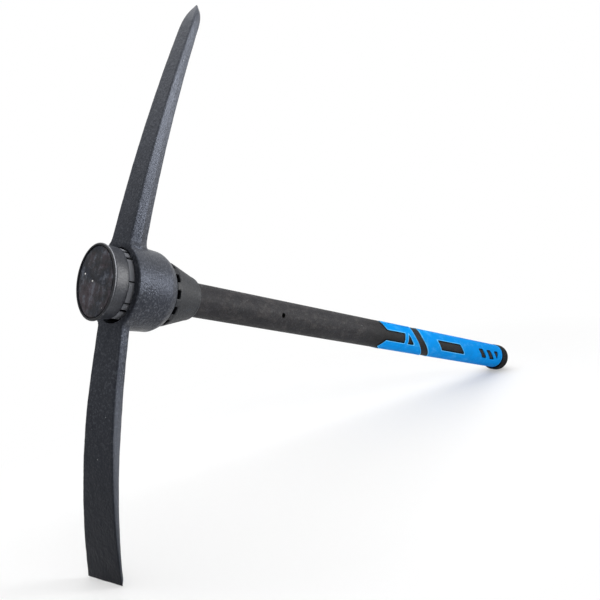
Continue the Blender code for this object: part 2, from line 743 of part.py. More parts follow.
def make_jacket(parts, cutters):
    core_bore = (CORE_RADIUS + GAP, CORE_RADIUS + GAP)
    shaft = (SHAFT_HALF_WIDTH, SHAFT_HALF_DEPTH)
    jacket = oval_tube(
        "shaft_jacket", JACKET_TOP, JACKET_END, shaft, core_bore, SHAFT_SEGMENTS, parts)
    front = make_pocket(
        "front_pocket", GRIP_START - GAP, FRONT_GRIP_END + GAP, front_windows(),
        past_band("front_pocket_end", GAP, cutters), cutters)
    rear = make_pocket(
        "rear_pocket", REAR_GRIP_START - GAP, JACKET_END + GRIP_SEAT_DEPTH, rear_windows(),
        before_band("rear_pocket_end", GAP, cutters), cutters)
    combine(jacket, front, "DIFFERENCE")
    combine(jacket, rear, "DIFFERENCE")
    across = Matrix.Translation((0, PIN_HOLE_AT, 0)) @ Matrix.Rotation(math.pi / 2, 4, "Y")
    hole = rod("pin_hole", PIN_HOLE_RADIUS, 2 * CUT_REACH, across, PIN_HOLE_SEGMENTS, cutters)
    return combine(jacket, hole, "DIFFERENCE")


def make_grip(name, start, end, windows, band, parts, cutters):
    """A rubber sleeve with bevelled ends."""
    outer = (SHAFT_HALF_WIDTH + GRIP_PROUD, SHAFT_HALF_DEPTH + GRIP_PROUD)
    inner = (SEAT_HALF_WIDTH + GAP, SEAT_HALF_DEPTH + GAP)
    stations = [
        (start, outer[0] - GRIP_EDGE, outer[1] - GRIP_EDGE),
        (start + GRIP_EDGE, *outer),
        (end - GRIP_EDGE, *outer),
        (end, outer[0] - GRIP_EDGE, outer[1] - GRIP_EDGE),
        (end, *inner),
        (start, *inner),
    ]
    sleeve = oval_loft(name, stations, SHAFT_SEGMENTS, parts, closed=True)
    return shape_grip(sleeve, windows, band, 0.0, cutters)


def make_grips(parts, cutters):
    front = make_grip(
        "front_grip", GRIP_START, FRONT_GRIP_END, front_windows(),
        past_band("front_grip_end", 0.0, cutters), parts, cutters)
    rear = make_grip(
        "rear_grip", REAR_GRIP_START, GRIP_END, rear_windows(),
        before_band("rear_grip_end", 0.0, cutters), parts, cutters)
    return front, rear


def make_core(parts):
    length = CORE_END - CORE_START
    place = Matrix.Translation((0, CORE_START + length / 2, 0))
    along = place @ Matrix.Rotation(math.pi / 2, 4, "X")
    return rod("fibreglass_core", CORE_RADIUS, length, along, SHAFT_SEGMENTS, parts)


def make_butt_cap(parts):
    """The domed end cap, its socket over the bare end of the jacket."""
    socket = (SEAT_HALF_WIDTH + GAP, SEAT_HALF_DEPTH + GAP)
    half_width = SHAFT_HALF_WIDTH + BUTT_SIDE_PROUD
    half_depth = SHAFT_HALF_DEPTH + BUTT_TOP_PROUD
    dome_start = BUTT_START + BUTT_RIM_LENGTH
    stations = [
        (BUTT_START, half_width - BUTT_EDGE, half_depth - BUTT_EDGE),
        (BUTT_START + BUTT_EDGE, half_width, half_depth),
    ]
    for i in range(BUTT_DOME_STEPS + 1):
        turn = math.pi / 2 * i / BUTT_DOME_STEPS
        drop = 1 - math.cos(turn)
        stations.append((
            dome_start + (HANDLE_LENGTH - dome_start) * math.sin(turn),
            half_width - BUTT_DOME_SIDE_DROP * drop,
            half_depth - BUTT_DOME_TOP_DROP * drop,
        ))
    inside = [oval(y, *socket, SHAFT_SEGMENTS) for y in (BUTT_SOCKET_END, BUTT_START)]
    outside = [
        [(x, y, z - BUTT_HANG) for x, y, z in oval(*station, SHAFT_SEGMENTS)]
        for station in stations
    ]
    return loft("butt_cap", inside + outside, parts)


# Setting the tool down

def lowest_slope(points, pivot):
    """The slope of the line from the pivot that just touches the points from below."""
    return min((point.z - pivot.z) / (point.y - pivot.y) for point in points)


def rest_on_ground(frame, pieces, head, butt):
    """Tilt the tool about X until its mattock edge and its butt lie level, then centre it."""
    bpy.context.view_layer.update()
    graph = bpy.context.evaluated_depsgraph_get()
    edge_points = [vertex.co for vertex in head.evaluated_get(graph).data.vertices]
    butt_points = [vertex.co for vertex in butt.evaluated_get(graph).data.vertices]
    edge = min(edge_points, key=lambda point: point.z)
    slope = lowest_slope(butt_points, edge)
    edge = min(edge_points, key=lambda point: point.z - slope * point.y)
    slope = lowest_slope(butt_points, edge)
    frame.rotation_euler = (-math.atan(slope), 0, 0)
    bpy.context.view_layer.update()
    corners = []
    for item in pieces:
        evaluated = item.evaluated_get(bpy.context.evaluated_depsgraph_get())
        corners += [item.matrix_world @ vertex.co for vertex in evaluated.data.vertices]
    middle = [(min(c[i] for c in corners) + max(c[i] for c in corners)) / 2 for i in range(2)]
    frame.location = (-middle[0], -middle[1], -min(corner.z for corner in corners))


def main():
    clear_scene()
    parts = new_collection("pickaxe")
    cutters = new_collection("cutters")
    painted_steel = make_material("black_painted_steel", (0.028, 0.030, 0.034), 0.55, 0.3)
    black_plastic = make_material("black_moulded_plastic", (0.035, 0.034, 0.035), 0.6)
    end_plastic = make_material("dark_grey_plastic", (0.050, 0.050, 0.052), 0.45)
    blue_rubber = make_material("blue_grip_rubber", (0.006, 0.32, 0.86), 0.5)
    fibreglass = make_material("fibreglass", (0.50, 0.46, 0.30), 0.4)
    head = finish(make_head(parts, cutters), painted_steel)
    finish(make_swell_plug(parts, cutters), end_plastic)
    finish(make_end_disc(parts), end_plastic)
    finish(make_collar(parts, cutters), black_plastic)
    finish(make_core(parts), fibreglass)
    finish(make_jacket(parts, cutters), black_plastic)
    for grip in make_grips(parts, cutters):
        finish(grip, blue_rubber)
    butt = finish(make_butt_cap(parts), black_plastic)
    frame = bpy.data.objects.new("tool_frame", None)
    bpy.context.scene.collection.objects.link(frame)
    for item in list(parts.objects) + list(cutters.objects):
        item.parent = frame
    rest_on_ground(frame, parts.objects, head, butt)


main()
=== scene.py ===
"""A forged pickaxe on a plastic-clad fibreglass handle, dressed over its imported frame.

Pieces are drawn in the tool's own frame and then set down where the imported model
lies: +Y runs down the handle from the end disc, +Z points to the tip of the pick
and +X lies across the head. All sizes are in metres.
"""

import json
import math

import bmesh
import bpy
import numpy as np
from mathutils import Matrix, Vector


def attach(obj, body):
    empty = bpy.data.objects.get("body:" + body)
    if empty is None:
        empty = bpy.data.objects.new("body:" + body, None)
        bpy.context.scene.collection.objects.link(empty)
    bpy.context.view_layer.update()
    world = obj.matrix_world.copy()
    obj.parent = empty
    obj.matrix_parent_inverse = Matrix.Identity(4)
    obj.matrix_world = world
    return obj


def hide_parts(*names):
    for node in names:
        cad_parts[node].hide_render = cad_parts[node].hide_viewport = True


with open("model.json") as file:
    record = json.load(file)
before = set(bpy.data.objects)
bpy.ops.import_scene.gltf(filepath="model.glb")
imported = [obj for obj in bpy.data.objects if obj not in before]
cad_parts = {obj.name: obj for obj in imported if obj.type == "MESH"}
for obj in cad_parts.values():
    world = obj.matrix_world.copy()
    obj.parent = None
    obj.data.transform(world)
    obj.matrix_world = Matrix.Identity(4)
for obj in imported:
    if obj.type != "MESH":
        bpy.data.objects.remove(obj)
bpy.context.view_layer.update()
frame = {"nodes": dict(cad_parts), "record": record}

bl_info = {
    "name": "Pickaxe",
    "version": (1, 0, 0),
    "blender": (4, 5, 0),
    "location": "3D View > Sidebar > Pickaxe",
    "description": "Forged pickaxe head on a plastic-clad fibreglass handle with a rubber grip",
    "category": "Add Mesh",
}

BODY = "root"

# Fit between pieces that touch, and how far cutters reach past what they cut
GAP = 0.0003
CUT_REACH = 0.060
EYE_OVERRUN = 0.006
MERGE_DISTANCE = 0.00001

# Roundness of the oval bodies and corners
HEAD_SEGMENTS = 192
PLUG_SEGMENTS = 256
SHAFT_SEGMENTS = 144
PIN_HOLE_SEGMENTS = 48
CORNER_STEPS = 6
SMOOTH_ANGLE = math.radians(35)

# Sides of the even faces that soften a moulded or forged form, and the rounds of
# smoothing that take the steps off them
HEAD_FACE = 0.0009
PLUG_FACE = 0.00045
COLLAR_FACE = 0.0005
GRIP_RING_PITCH = 0.0010
HEAD_SMOOTHING = 5
MOULD_SMOOTHING = 2
SMOOTHING_SHARE = 0.5

# Head: walls round the eye, and its soft-cornered chamfer at the rear
BOSS_FRONT_SIDE_WALL = 0.0081
BOSS_FRONT_TOP_WALL = 0.0065
BOSS_REAR_SIDE_WALL = 0.0044
BOSS_REAR_TOP_WALL = 0.0032
BOSS_SIDE_DROP = 0.0008
BOSS_TOP_DROP = 0.0024
BOSS_CHAMFER_LENGTH = 0.0125
BOSS_CHAMFER_STEPS = 14
BOSS_CORNER_POWER = 1.3

# Both arms: their soft edges, the most of a thin section that an edge may take,
# how much of the root fillet shows at the sides, and where a plain side bends
FORGED_EDGE = 0.0009
EDGE_SHARE = 0.2
SIDE_FLARE = 0.3
MIDDLE = 0.5
FILLET_STEPS = 8

# Pick arm
PICK_ROOT = 0.0400
PICK_POINT_LENGTH = 0.0315
PICK_SHOULDER_WIDTH = 0.0178
PICK_SHOULDER_DEPTH = 0.0134
PICK_BACK_DRAFT = 0.0012
PICK_RIDGE = 0.0023
PICK_RIDGE_PLACE = 0.50
PICK_RIDGE_LENGTH = 0.130
PICK_FILLET = 0.0085
PICK_TIP_WIDTH = 0.0012
PICK_TIP_PLACE = 0.42
PICK_FRONT_POWER = 2.7
PICK_BACK_POWER = 4.5
PICK_POINT_STEPS = 20
PICK_STEPS = 40

# Mattock arm
BLADE_ROOT = 0.0380
BLADE_TAPER_LENGTH = 0.1575
BLADE_TAPER_POWER = 1.25
BLADE_BEVEL_HEIGHT = 0.0065
BLADE_EDGE_DEPTH = 0.0014
BLADE_STRAIGHT_LENGTH = 0.0400
BLADE_BACK_DRAFT = 0.0010
BLADE_FILLET = 0.0025
BLADE_STEPS = 50

# Unevenness that the forging dies and the scale leave in the head
DENT_SIZE = 0.016
DENT_DEPTH = 0.0005

# Swell plug and end disc
RIM_SIDE_OVERHANG = 0.0003
RIM_TOP_OVERHANG = 0.0006
RIM_THICKNESS = 0.0024
RIM_ROUND = 0.0010
PLUG_SIDE_SETBACK = 0.0012
PLUG_TOP_SETBACK = 0.0011
PLUG_BOTTOM_SETBACK = 0.0035
PLUG_GROOVE_DEPTH = 0.0014
PLUG_GROOVE_WIDTH = 0.0012
PLUG_GROOVE_SLOPE = 0.0002
PLUG_WALL_TO_EYE = 0.0055
PLUG_STEP = 0.0006
PLUG_MOUTH_SIDE_CLEARANCE = 0.0012
PLUG_MOUTH_TOP_CLEARANCE = 0.0009
PLUG_MOUTH_BOTTOM_CLEARANCE = 0.0048
PLUG_DEPTH_IN_EYE = 0.0400
PLUG_SEAT_LENGTH = 0.0100
RIM_WIDTH = 0.0022
DISC_MOAT_WIDTH = 0.0009
DISC_MOAT_DEPTH = 0.0013
DISC_THICKNESS = 0.0024
DISC_SINK = 0.0005
DISC_EDGE = 0.0007
DISC_EDGE_STEPS = 6
NOTCH_DEPTH = 0.0030
WIDE_NOTCH = 0.0026
THIN_NOTCH = 0.0012
# Notches along the plug: their angles up from its side, mirrored on the other, and widths
NOTCHES = (
    (64, WIDE_NOTCH), (47, WIDE_NOTCH), (6, THIN_NOTCH), (-31, THIN_NOTCH), (-47, WIDE_NOTCH),
)

# Locking collar
COLLAR_BAND_LENGTH = 0.0064
COLLAR_TOP_SETBACK = 0.0008
COLLAR_NECK_SIDE_WALL = 0.0043
COLLAR_NECK_TOP_WALL = 0.0054
COLLAR_NECK_ROUND = 0.0055
COLLAR_NECK_STEPS = 10
COLLAR_LIP = 0.0012
COLLAR_WALL = 0.0030
COLLAR_BORE_LENGTH = 0.0180
COLLAR_NOTCH_WIDTH = 0.0090
COLLAR_NOTCH_LENGTH = 0.0044

# Jacket and the seats of the grips
JACKET_WALL = 0.0026
JACKET_TOP = 0.0050
PIN_HOLE_RADIUS = 0.0030
GRIP_SEAT_DEPTH = 0.0022
GRIP_PROUD = 0.0004
GRIP_EDGE = 0.0006
CREST_LENGTH = 0.0190
CREST_HALF_WIDTH = 0.0080
GRIP_LEAD = 0.0090
TONGUE_HALF_HEIGHT = 0.0062
TONGUE_FLARE_LENGTH = 0.0100
TONGUE_FLARE_HEIGHT = 0.0105
TONGUE_FLARE_POWER = 1.25
TONGUE_FLARE_STEPS = 6
WINDOW_CORNER = 0.0006
WINDOW_GAP = 0.0008
ISLAND_GAP = 0.0009
TONGUE_TO_TRIANGLE = 0.0105
TRIANGLE_TO_BAND = 0.0405
BAND_TOP_CURL = 26.0
BAND_BOTTOM_CURL = 12.0
BAND_SLACK = 0.0007
BAND_TO_LONG_WINDOW = 0.0240
LONG_WINDOW_TO_HATCHES = 0.0645
LAST_HATCH_LENGTH = 0.0140
HATCHES_TO_GRIP_END = 0.0178

# The raised lip round each window of the grip, and the mould line below the tongue
LIP_WIDTH = 0.0014
LIP_HEIGHT = 0.0003
OUTER_SKIN = 0.0008
MOULD_LINE_WIDTH = 0.0009

# Butt cap
BUTT_SIDE_PROUD = 0.0016
BUTT_TOP_PROUD = 0.0022
BUTT_HANG = 0.0012
BUTT_RIM_LENGTH = 0.0150
BUTT_DOME_SIDE_DROP = 0.0060
BUTT_DOME_TOP_DROP = 0.0060
BUTT_DOME_STEPS = 20
BUTT_DOME_INSET = 0.0002
BUTT_SOCKET_DEPTH = 0.0150
BUTT_EDGE = 0.0006


def linear(hex_colour):
    """An sRGB hex colour as the linear values that Blender mixes."""
    channels = [int(hex_colour[i:i + 2], 16) / 255 for i in (1, 3, 5)]
    return tuple(c / 12.92 if c <= 0.04045 else ((c + 0.055) / 1.055) ** 2.4 for c in channels)


# Sizes and colours that a user would change

def length(name, default, description):
    return bpy.props.FloatProperty(
        name=name, description=description, default=default, min=0.0, max=2.0,
        precision=4, subtype="DISTANCE", unit="LENGTH")


def ratio(name, default, description):
    return bpy.props.FloatProperty(
        name=name, description=description, default=default, min=0.0, max=10.0, precision=3)


def colour(name, default, description):
    return bpy.props.FloatVectorProperty(
        name=name, description=description, default=linear(default), size=3,
        min=0.0, max=1.0, subtype="COLOR")


class PickaxeHeadSizes(bpy.types.PropertyGroup):
    """Sizes of the forged head."""

    eye_front: length("Eye front", 0.0250, "From the end of the handle to the front of the eye")
    eye_length: length("Eye length", 0.0585, "Length of the eye along the handle")
    eye_front_half_width: length(
        "Eye front half width", 0.0259, "Half the eye's width where the plug goes in")
    eye_front_half_depth: length(
        "Eye front half depth", 0.0367, "Half the eye's depth where the plug goes in")
    eye_rear_half_width: length(
        "Eye rear half width", 0.0243, "Half the eye's width next to the collar")
    eye_rear_half_depth: length(
        "Eye rear half depth", 0.0308, "Half the eye's depth next to the collar")
    pick_reach: length("Pick reach", 0.3015, "From the middle of the handle to the pick's tip")
    pick_root_width: length("Pick root width", 0.0264, "Width of the pick where it leaves the eye")
    pick_root_depth: length("Pick root depth", 0.0248, "Depth of the pick where it leaves the eye")
    pick_lean: ratio("Pick lean", 0.1445, "How far the pick leans back for each unit of its reach")
    pick_bend_radius: length("Pick bend radius", 1.50, "Radius of the pick's slow backward bend")
    blade_reach: length(
        "Blade reach", 0.2840, "From the middle of the handle to the mattock's edge")
    blade_root_width: length(
        "Blade root width", 0.0338, "Width of the blade where it leaves the eye")
    blade_edge_width: length("Blade edge width", 0.0488, "Width of the mattock's cutting edge")
    blade_depth: length("Blade depth", 0.0128, "Thickness of the blade at its root")
    blade_thin_depth: length("Blade thin depth", 0.0044, "Thickness of the blade above its bevel")
    blade_bend_radius: length("Blade bend radius", 0.610, "Radius of the blade's backward curve")

    @property
    def eye_rear(self):
        return self.eye_front + self.eye_length

    @property
    def arm_base(self):
        return self.eye_front_half_depth / 2

    @property
    def pick_shoulder(self):
        return self.pick_reach - PICK_POINT_LENGTH

    @property
    def bevel_start(self):
        return self.blade_reach - BLADE_BEVEL_HEIGHT

    def eye_half_sizes(self, y):
        """The eye tapers evenly from front to rear."""
        share = (y - self.eye_front) / self.eye_length
        width = self.eye_front_half_width
        depth = self.eye_front_half_depth
        width += (self.eye_rear_half_width - width) * share
        depth += (self.eye_rear_half_depth - depth) * share
        return width, depth


class PickaxeHandleSizes(bpy.types.PropertyGroup):
    """Sizes of the handle from the plug to the butt."""

    handle_length: length("Handle length", 0.9065, "Length of the handle from disc to butt")
    shaft_half_width: length("Shaft half width", 0.0170, "Half the shaft's width across the head")
    shaft_half_depth: length("Shaft half depth", 0.0181, "Half the shaft's depth")
    collar_length: length("Collar length", 0.0455, "Length of the collar behind the head")
    collar_notches: bpy.props.IntProperty(
        name="Collar notches", description="Notches round the collar's front edge",
        default=12, min=3, max=40)
    pin_hole_at: length("Pin hole", 0.276, "From the end of the handle to its pin hole")
    butt_length: length("Butt length", 0.0274, "Length of the cap at the butt")

    @property
    def shaft(self):
        """Half the shaft's width and depth."""
        return self.shaft_half_width, self.shaft_half_depth

    @property
    def seat(self):
        """Half the width and depth of the jacket under the grips and in the butt cap."""
        return grown(self.shaft, -GRIP_SEAT_DEPTH)

    @property
    def core_radius(self):
        return self.seat[0] - JACKET_WALL

    @property
    def butt_start(self):
        return self.handle_length - self.butt_length

    @property
    def socket_end(self):
        return self.butt_start + BUTT_SOCKET_DEPTH

    @property
    def jacket_end(self):
        return self.socket_end - GAP

    @property
    def grip_end(self):
        return self.butt_start - GAP


class PickaxeGripSizes(bpy.types.PropertyGroup):
    """Sizes of the rubber grip's windows and of the band between its sleeves."""

    window_top: length("Window top", 0.0055, "Height of the windows' upper edge over the middle")
    window_drop: length("Window drop", 0.0064, "Depth of the windows' lower edge below the middle")
    window_lean: ratio("Window lean", 1.35, "How far a window's ends lean back as they come down")
    tongue_length: length("Tongue length", 0.0580, "Length of the dark tongue in the front sleeve")
    band_length: length("Band length", 0.0210, "Length of the dark band along the handle")
    band_bow: ratio("Band bow", 0.90, "How far the band bows towards the butt at its middle")
    band_lean: ratio("Band lean", 1.47, "How far the band leans back as it comes down")
    long_window_length: length("Long window", 0.0725, "Length of the long window")
    hatch_length: length("Hatch length", 0.0138, "Length of each small hatch")
    hatch_pitch: length("Hatch pitch", 0.0280, "From one hatch to the next")

    @property
    def lean_run(self):
        return (self.window_top + self.window_drop) * self.window_lean

    @property
    def last_hatch_end(self):
        return handle_sizes().grip_end - HATCHES_TO_GRIP_END

    @property
    def last_hatch_start(self):
        return self.last_hatch_end - LAST_HATCH_LENGTH

    @property
    def hatch_start(self):
        return self.last_hatch_start - 2 * self.hatch_pitch

    @property
    def long_window_start(self):
        return self.hatch_start - LONG_WINDOW_TO_HATCHES - self.long_window_length

    @property
    def band_end(self):
        return self.long_window_start - BAND_TO_LONG_WINDOW

    @property
    def band_start(self):
        return self.band_end - self.band_length

    @property
    def triangle_start(self):
        return self.band_start - TRIANGLE_TO_BAND

    @property
    def tongue_end(self):
        return self.triangle_start - TONGUE_TO_TRIANGLE

    @property
    def grip_start(self):
        return self.tongue_end - self.tongue_length


class PickaxeColours(bpy.types.PropertyGroup):
    """Colours of the pickaxe's finishes."""

    paint: colour("Head paint", "#282A30", "Black enamel on the forged head")
    # Also painted on the head's sides as sheen and on its upward faces as a highlight
    worn_paint_and_sheen: colour("Worn paint", "#63666D", "Head paint where it has worn thin")
    plug: colour("Plug plastic", "#2F3137", "Dark grey nylon of the plug")
    disc: colour("Disc plastic", "#2D2E34", "Darker nylon of the end disc")
    collar: colour("Collar plastic", "#191B1F", "Black polypropylene of the collar")
    jacket: colour("Jacket plastic", "#2A292B", "Black polypropylene of the jacket")
    butt: colour("Butt plastic", "#101012", "Black polypropylene of the butt cap")
    grip: colour("Grip rubber", "#0086D8", "Azure rubber of the grip")
    # Also painted on the lips of the grip as a highlight
    pale_grip_and_lip_highlight: colour("Grip lip", "#6CC4F5", "Paler rubber where the lips stand up to the light")
    core: colour("Glass fibre", "#C6BA92", "Resin-bound glass of the core")


class PickaxeStage(bpy.types.PropertyGroup):
    """Levels of the studio light and the whiteness of the floor."""

    floor: colour("Floor", "#F4F4F4", "Colour of the studio floor")
    surround: bpy.props.FloatProperty(
        name="Surround", description="Brightness of the room's even light on the pickaxe",
        default=0.22, min=0.0, max=2.0)
    side_light: bpy.props.FloatProperty(
        name="Side light", description="Power of the soft light beside the pickaxe",
        default=5.4, min=0.0, max=50.0, unit="POWER")
    top_light: bpy.props.FloatProperty(
        name="Top light", description="Power of the soft light above the pickaxe",
        default=114.0, min=0.0, max=500.0, unit="POWER")
    focal_length: bpy.props.FloatProperty(
        name="Focal length", description="Focal length of the camera's lens",
        default=60.0, min=10.0, max=300.0, subtype="DISTANCE_CAMERA", unit="CAMERA")


class PickaxeSettings(bpy.types.PropertyGroup):
    """All settings of the pickaxe."""

    head: bpy.props.PointerProperty(
        type=PickaxeHeadSizes, name="Head", description="Sizes of the forged head")
    handle: bpy.props.PointerProperty(
        type=PickaxeHandleSizes, name="Handle", description="Sizes of the handle")
    grip: bpy.props.PointerProperty(
        type=PickaxeGripSizes, name="Grip", description="Sizes of the grip")
    colours: bpy.props.PointerProperty(
        type=PickaxeColours, name="Colours", description="Colours of the finishes")
    stage: bpy.props.PointerProperty(
        type=PickaxeStage, name="Stage", description="Studio floor, light and camera")


def settings():
    return bpy.context.scene.pickaxe


def head_sizes():
    return settings().head


def handle_sizes():
    return settings().handle


def grip_sizes():
    return settings().grip


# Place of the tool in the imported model

def tool_place():
    """Matrix from the tool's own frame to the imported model, from its end mounts."""
    mounts = {mount["name"]: mount for mount in frame["record"]["mounts"]}
    along = Vector(mounts["butt_face"]["axis"]).normalized()
    across = Vector((1, 0, 0))
    matrix = Matrix((across, along, across.cross(along))).transposed().to_4x4()
    matrix.translation = Vector(mounts["end_face"]["pos_m"]) - along * DISC_SINK
    return matrix


TOOL = tool_place()


# Solids and cutters

def new_object(name, data):
    """A mesh, curve, lamp or camera as an object in the scene."""
    item = bpy.data.objects.new(name, data)
    bpy.context.scene.collection.objects.link(item)
    return item


def mesh_object(name, form):
    """Turn a closed bmesh into an object with its faces outwards, and free the bmesh."""
    bmesh.ops.recalc_face_normals(form, faces=form.faces)
    if form.calc_volume(signed=True) < 0:
        bmesh.ops.reverse_faces(form, faces=form.faces)
    mesh = bpy.data.meshes.new(name)
    form.to_mesh(mesh)
    form.free()
    return new_object(name, mesh)


def loft(name, rings, closed=False):
    """Skin a row of equal rings; a closed one joins its last ring to its first."""
    form = bmesh.new()
    rows = [[form.verts.new(point) for point in ring] for ring in rings]
    count = len(rings[0])
    following = rows[1:] + rows[:1] if closed else rows[1:]
    for near, far in zip(rows, following):
        for i in range(count):
            j = (i + 1) % count
            form.faces.new((near[i], near[j], far[j], far[i]))
    if not closed:
        form.faces.new(rows[0])
        form.faces.new(rows[-1])
    return mesh_object(name, form)


def oval(y, half_width, half_depth, segments):
    """An oval ring whose corners stay clear of the tool's middle planes."""
    angles = [2 * math.pi * (i + 0.5) / segments for i in range(segments)]
    return [(half_width * math.cos(a), y, half_depth * math.sin(a)) for a in angles]


def egg(y, half_width, top, bottom, segments):
    """An oval ring whose upper half has another depth than its lower half."""
    return [
        (x, y, z * (top if z > 0 else bottom))
        for x, y, z in oval(y, half_width, 1.0, segments)
    ]


def oval_loft(name, stations, segments, closed=False):
    """Skin ovals square to the handle; each station is its place and two half sizes."""
    return loft(name, [oval(*station, segments) for station in stations], closed)


def oval_tube(name, start, end, outer, inner, segments):
    """A straight oval tube; outer and inner are pairs of half sizes."""
    stations = [(start, *outer), (end, *outer), (end, *inner), (start, *inner)]
    return oval_loft(name, stations, segments, closed=True)


def grown(sizes, distance):
    """Half sizes that are all larger by a distance, or smaller by a negative one."""
    return tuple(size + distance for size in sizes)


def spread(start, end, steps):
    """Evenly spaced values from a start to an end, both of them included."""
    return [start + (end - start) * i / steps for i in range(steps + 1)]


def quarter_turns(steps):
    """The way along and the drop of each step round a quarter circle."""
    turns = [math.pi / 2 * i / steps for i in range(steps + 1)]
    return [(math.sin(turn), 1 - math.cos(turn)) for turn in turns]


def offset_outline(points, distance):
    """Move every edge of an anticlockwise outline out by the distance."""
    corners = [Vector(point) for point in points]
    moved = []
    for i, corner in enumerate(corners):
        before = (corner - corners[i - 1]).normalized()
        after = (corners[(i + 1) % len(corners)] - corner).normalized()
        out_before = Vector((before.y, -before.x))
        out_after = Vector((after.y, -after.x))
        mitre = (out_before + out_after) / (1 + out_before.dot(out_after))
        moved.append(corner + mitre * distance)
    return moved


def rounded_outline(points, radius):
    """Replace each corner of an outline with an arc of the radius."""
    corners = [Vector(point) for point in points]
    outline = []
    for i, corner in enumerate(corners):
        back = (corners[i - 1] - corner).normalized()
        ahead = (corners[(i + 1) % len(corners)] - corner).normalized()
        half = back.angle(ahead) / 2
        centre = corner + (back + ahead).normalized() * radius / math.sin(half)
        first = corner + back * radius / math.tan(half) - centre
        turn = first.angle_signed(corner + ahead * radius / math.tan(half) - centre)
        for step in range(CORNER_STEPS + 1):
            arm = first.copy()
            arm.rotate(Matrix.Rotation(-turn * step / CORNER_STEPS, 2))
            outline.append(centre + arm)
    return outline


def prism(name, outline, half_thickness, matrix):
    """A flat outline thickened both ways, as a mesh in the tool's frame."""
    curve = bpy.data.curves.new(name, "CURVE")
    curve.dimensions = "2D"
    curve.fill_mode = "BOTH"
    curve.extrude = half_thickness
    spline = curve.splines.new("POLY")
    spline.points.add(len(outline) - 1)
    for point, place in zip(spline.points, outline):
        point.co = (place[0], place[1], 0.0, 1.0)
    spline.use_cyclic_u = True
    drawn = new_object(name + "_outline", curve)
    bpy.context.view_layer.update()
    evaluated = drawn.evaluated_get(bpy.context.evaluated_depsgraph_get())
    mesh = bpy.data.meshes.new_from_object(evaluated)
    bpy.data.objects.remove(drawn, do_unlink=True)
    form = bmesh.new()
    form.from_mesh(mesh)
    bpy.data.meshes.remove(mesh)
    bmesh.ops.remove_doubles(form, verts=form.verts, dist=MERGE_DISTANCE)
    form.transform(matrix)
    return mesh_object(name, form)


def box(name, size, matrix):
    form = bmesh.new()
    bmesh.ops.create_cube(form, size=1.0, matrix=matrix @ Matrix.Diagonal((*size, 1.0)))
    return mesh_object(name, form)


def rod(name, radius, length, matrix, segments):
    form = bmesh.new()
    bmesh.ops.create_cone(
        form, cap_ends=True, segments=segments, radius1=radius, radius2=radius,
        depth=length, matrix=matrix)
    return mesh_object(name, form)


def combine(item, other, operation):
    """Add or cut the other solid with an exact Boolean, which settle then applies."""
    if other.modifiers:
        settle(other)
    modifier = item.modifiers.new(other.name, "BOOLEAN")
    modifier.operation = operation
    modifier.solver = "EXACT"
    modifier.object = other
    return item


def even_out(item, face, smoothing):
    """Give a solid small even faces and take the sharpness off its edges."""
    remesh = item.modifiers.new("even_faces", "REMESH")
    remesh.mode = "VOXEL"
    remesh.voxel_size = face
    remesh.use_smooth_shade = True
    smooth = item.modifiers.new("soft_edges", "SMOOTH")
    smooth.factor = SMOOTHING_SHARE
    smooth.iterations = smoothing
    return item


def settle(item):
    """Apply a piece's modifiers, and remove the solids that they used."""
    bpy.context.view_layer.update()
    used = [m.object for m in item.modifiers if m.type == "BOOLEAN"]
    evaluated = item.evaluated_get(bpy.context.evaluated_depsgraph_get())
    mesh = bpy.data.meshes.new_from_object(evaluated)
    item.modifiers.clear()
    item.data = mesh
    for other in used:
        bpy.data.objects.remove(other, do_unlink=True)
    if not mesh.polygons:
        raise RuntimeError(f"{item.name} came out empty")
    return item


def place(item, material, node, slot):
    """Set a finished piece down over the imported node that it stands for."""
    if item.modifiers:
        settle(item)
    item.data.transform(TOOL)
    item.data.materials.clear()
    item.data.materials.append(material)
    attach(item, BODY)
    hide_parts(node)
    return item


def shade(item):
    item.data.shade_smooth()
    item.data.set_sharp_from_angle(angle=SMOOTH_ANGLE)
    return item


def vertex_places(item):
    """The piece's vertices as rows of x, y and z."""
    places = np.empty(len(item.data.vertices) * 3)
    item.data.vertices.foreach_get("co", places)
    return places.reshape(-1, 3)


def move_vertices(item, places):
    item.data.vertices.foreach_set("co", places.ravel())
    item.data.update()


def mark(item, name, values):
    """Store one number for each vertex, for the material to read."""
    attribute = item.data.attributes.new(name, "FLOAT", "POINT")
    attribute.data.foreach_set("value", values.astype(np.float32))


# Materials

# Enamel on the forging: the sizes of its patterns. Blasted grit is about 0.4 mm; the coarser
# layers are drawn at 2 and 4 mm so that they show
FINE_GRIT = 0.0004
GRIT = 0.0022
COARSE_GRIT = 0.0042
PAINT_BLOOM = 0.026
FINE_GRIT_DEPTH = 0.00008
GRIT_DEPTH = 0.00040
COARSE_GRIT_DEPTH = 0.00030
GLINT_PITCH = 0.0090
GLINT_RADIUS = 0.0007
# Heights and facings between which each kind of its wear, painted sheen and painted shade comes in
UP_THE_BLADE = (-0.28, -0.14)
BELOW_THE_EYE = (-0.08, -0.14)
DOWN_THE_BLADE = (-0.09, -0.27)
UP_THE_PICK = (0.05, 0.17)
BLADE_SIDES = (0.5, 0.9)
PICK_SIDES = (0.4, 0.9)
UPPER_FACES = (0.20, 0.85)
FORGED_CORNERS = (0.515, 0.60)
PAINT_SHADE = 0.6
PAINTED_BLADE_SHADE = linear("#070607")
BARE_GRAIN_AND_GLINT = linear("#A9AAAC")
COOL_GLOSS = linear("#CBD8F5")

# Plastics: spark texture is about 0.3 mm; its second layer is drawn at 1.8 mm so that it shows
SPARK_PITS = 0.0003
SPARK_GRAIN = 0.0018
MELT_CLOUDS = 0.014
PITS_TO_GRAIN = 3
CLOUD_POLISH = 0.04
CLOUD_DULLNESS = 0.06
DUST_PITCH = 0.0080
DUST_RADIUS = 0.0006
MOULDED_CORNERS = (0.53, 0.66)
MELT_SHADE = 0.62
PALE_PLASTIC_AND_EDGE_HIGHLIGHT = linear("#7B7D83")
DUST = linear("#C8C8CA")
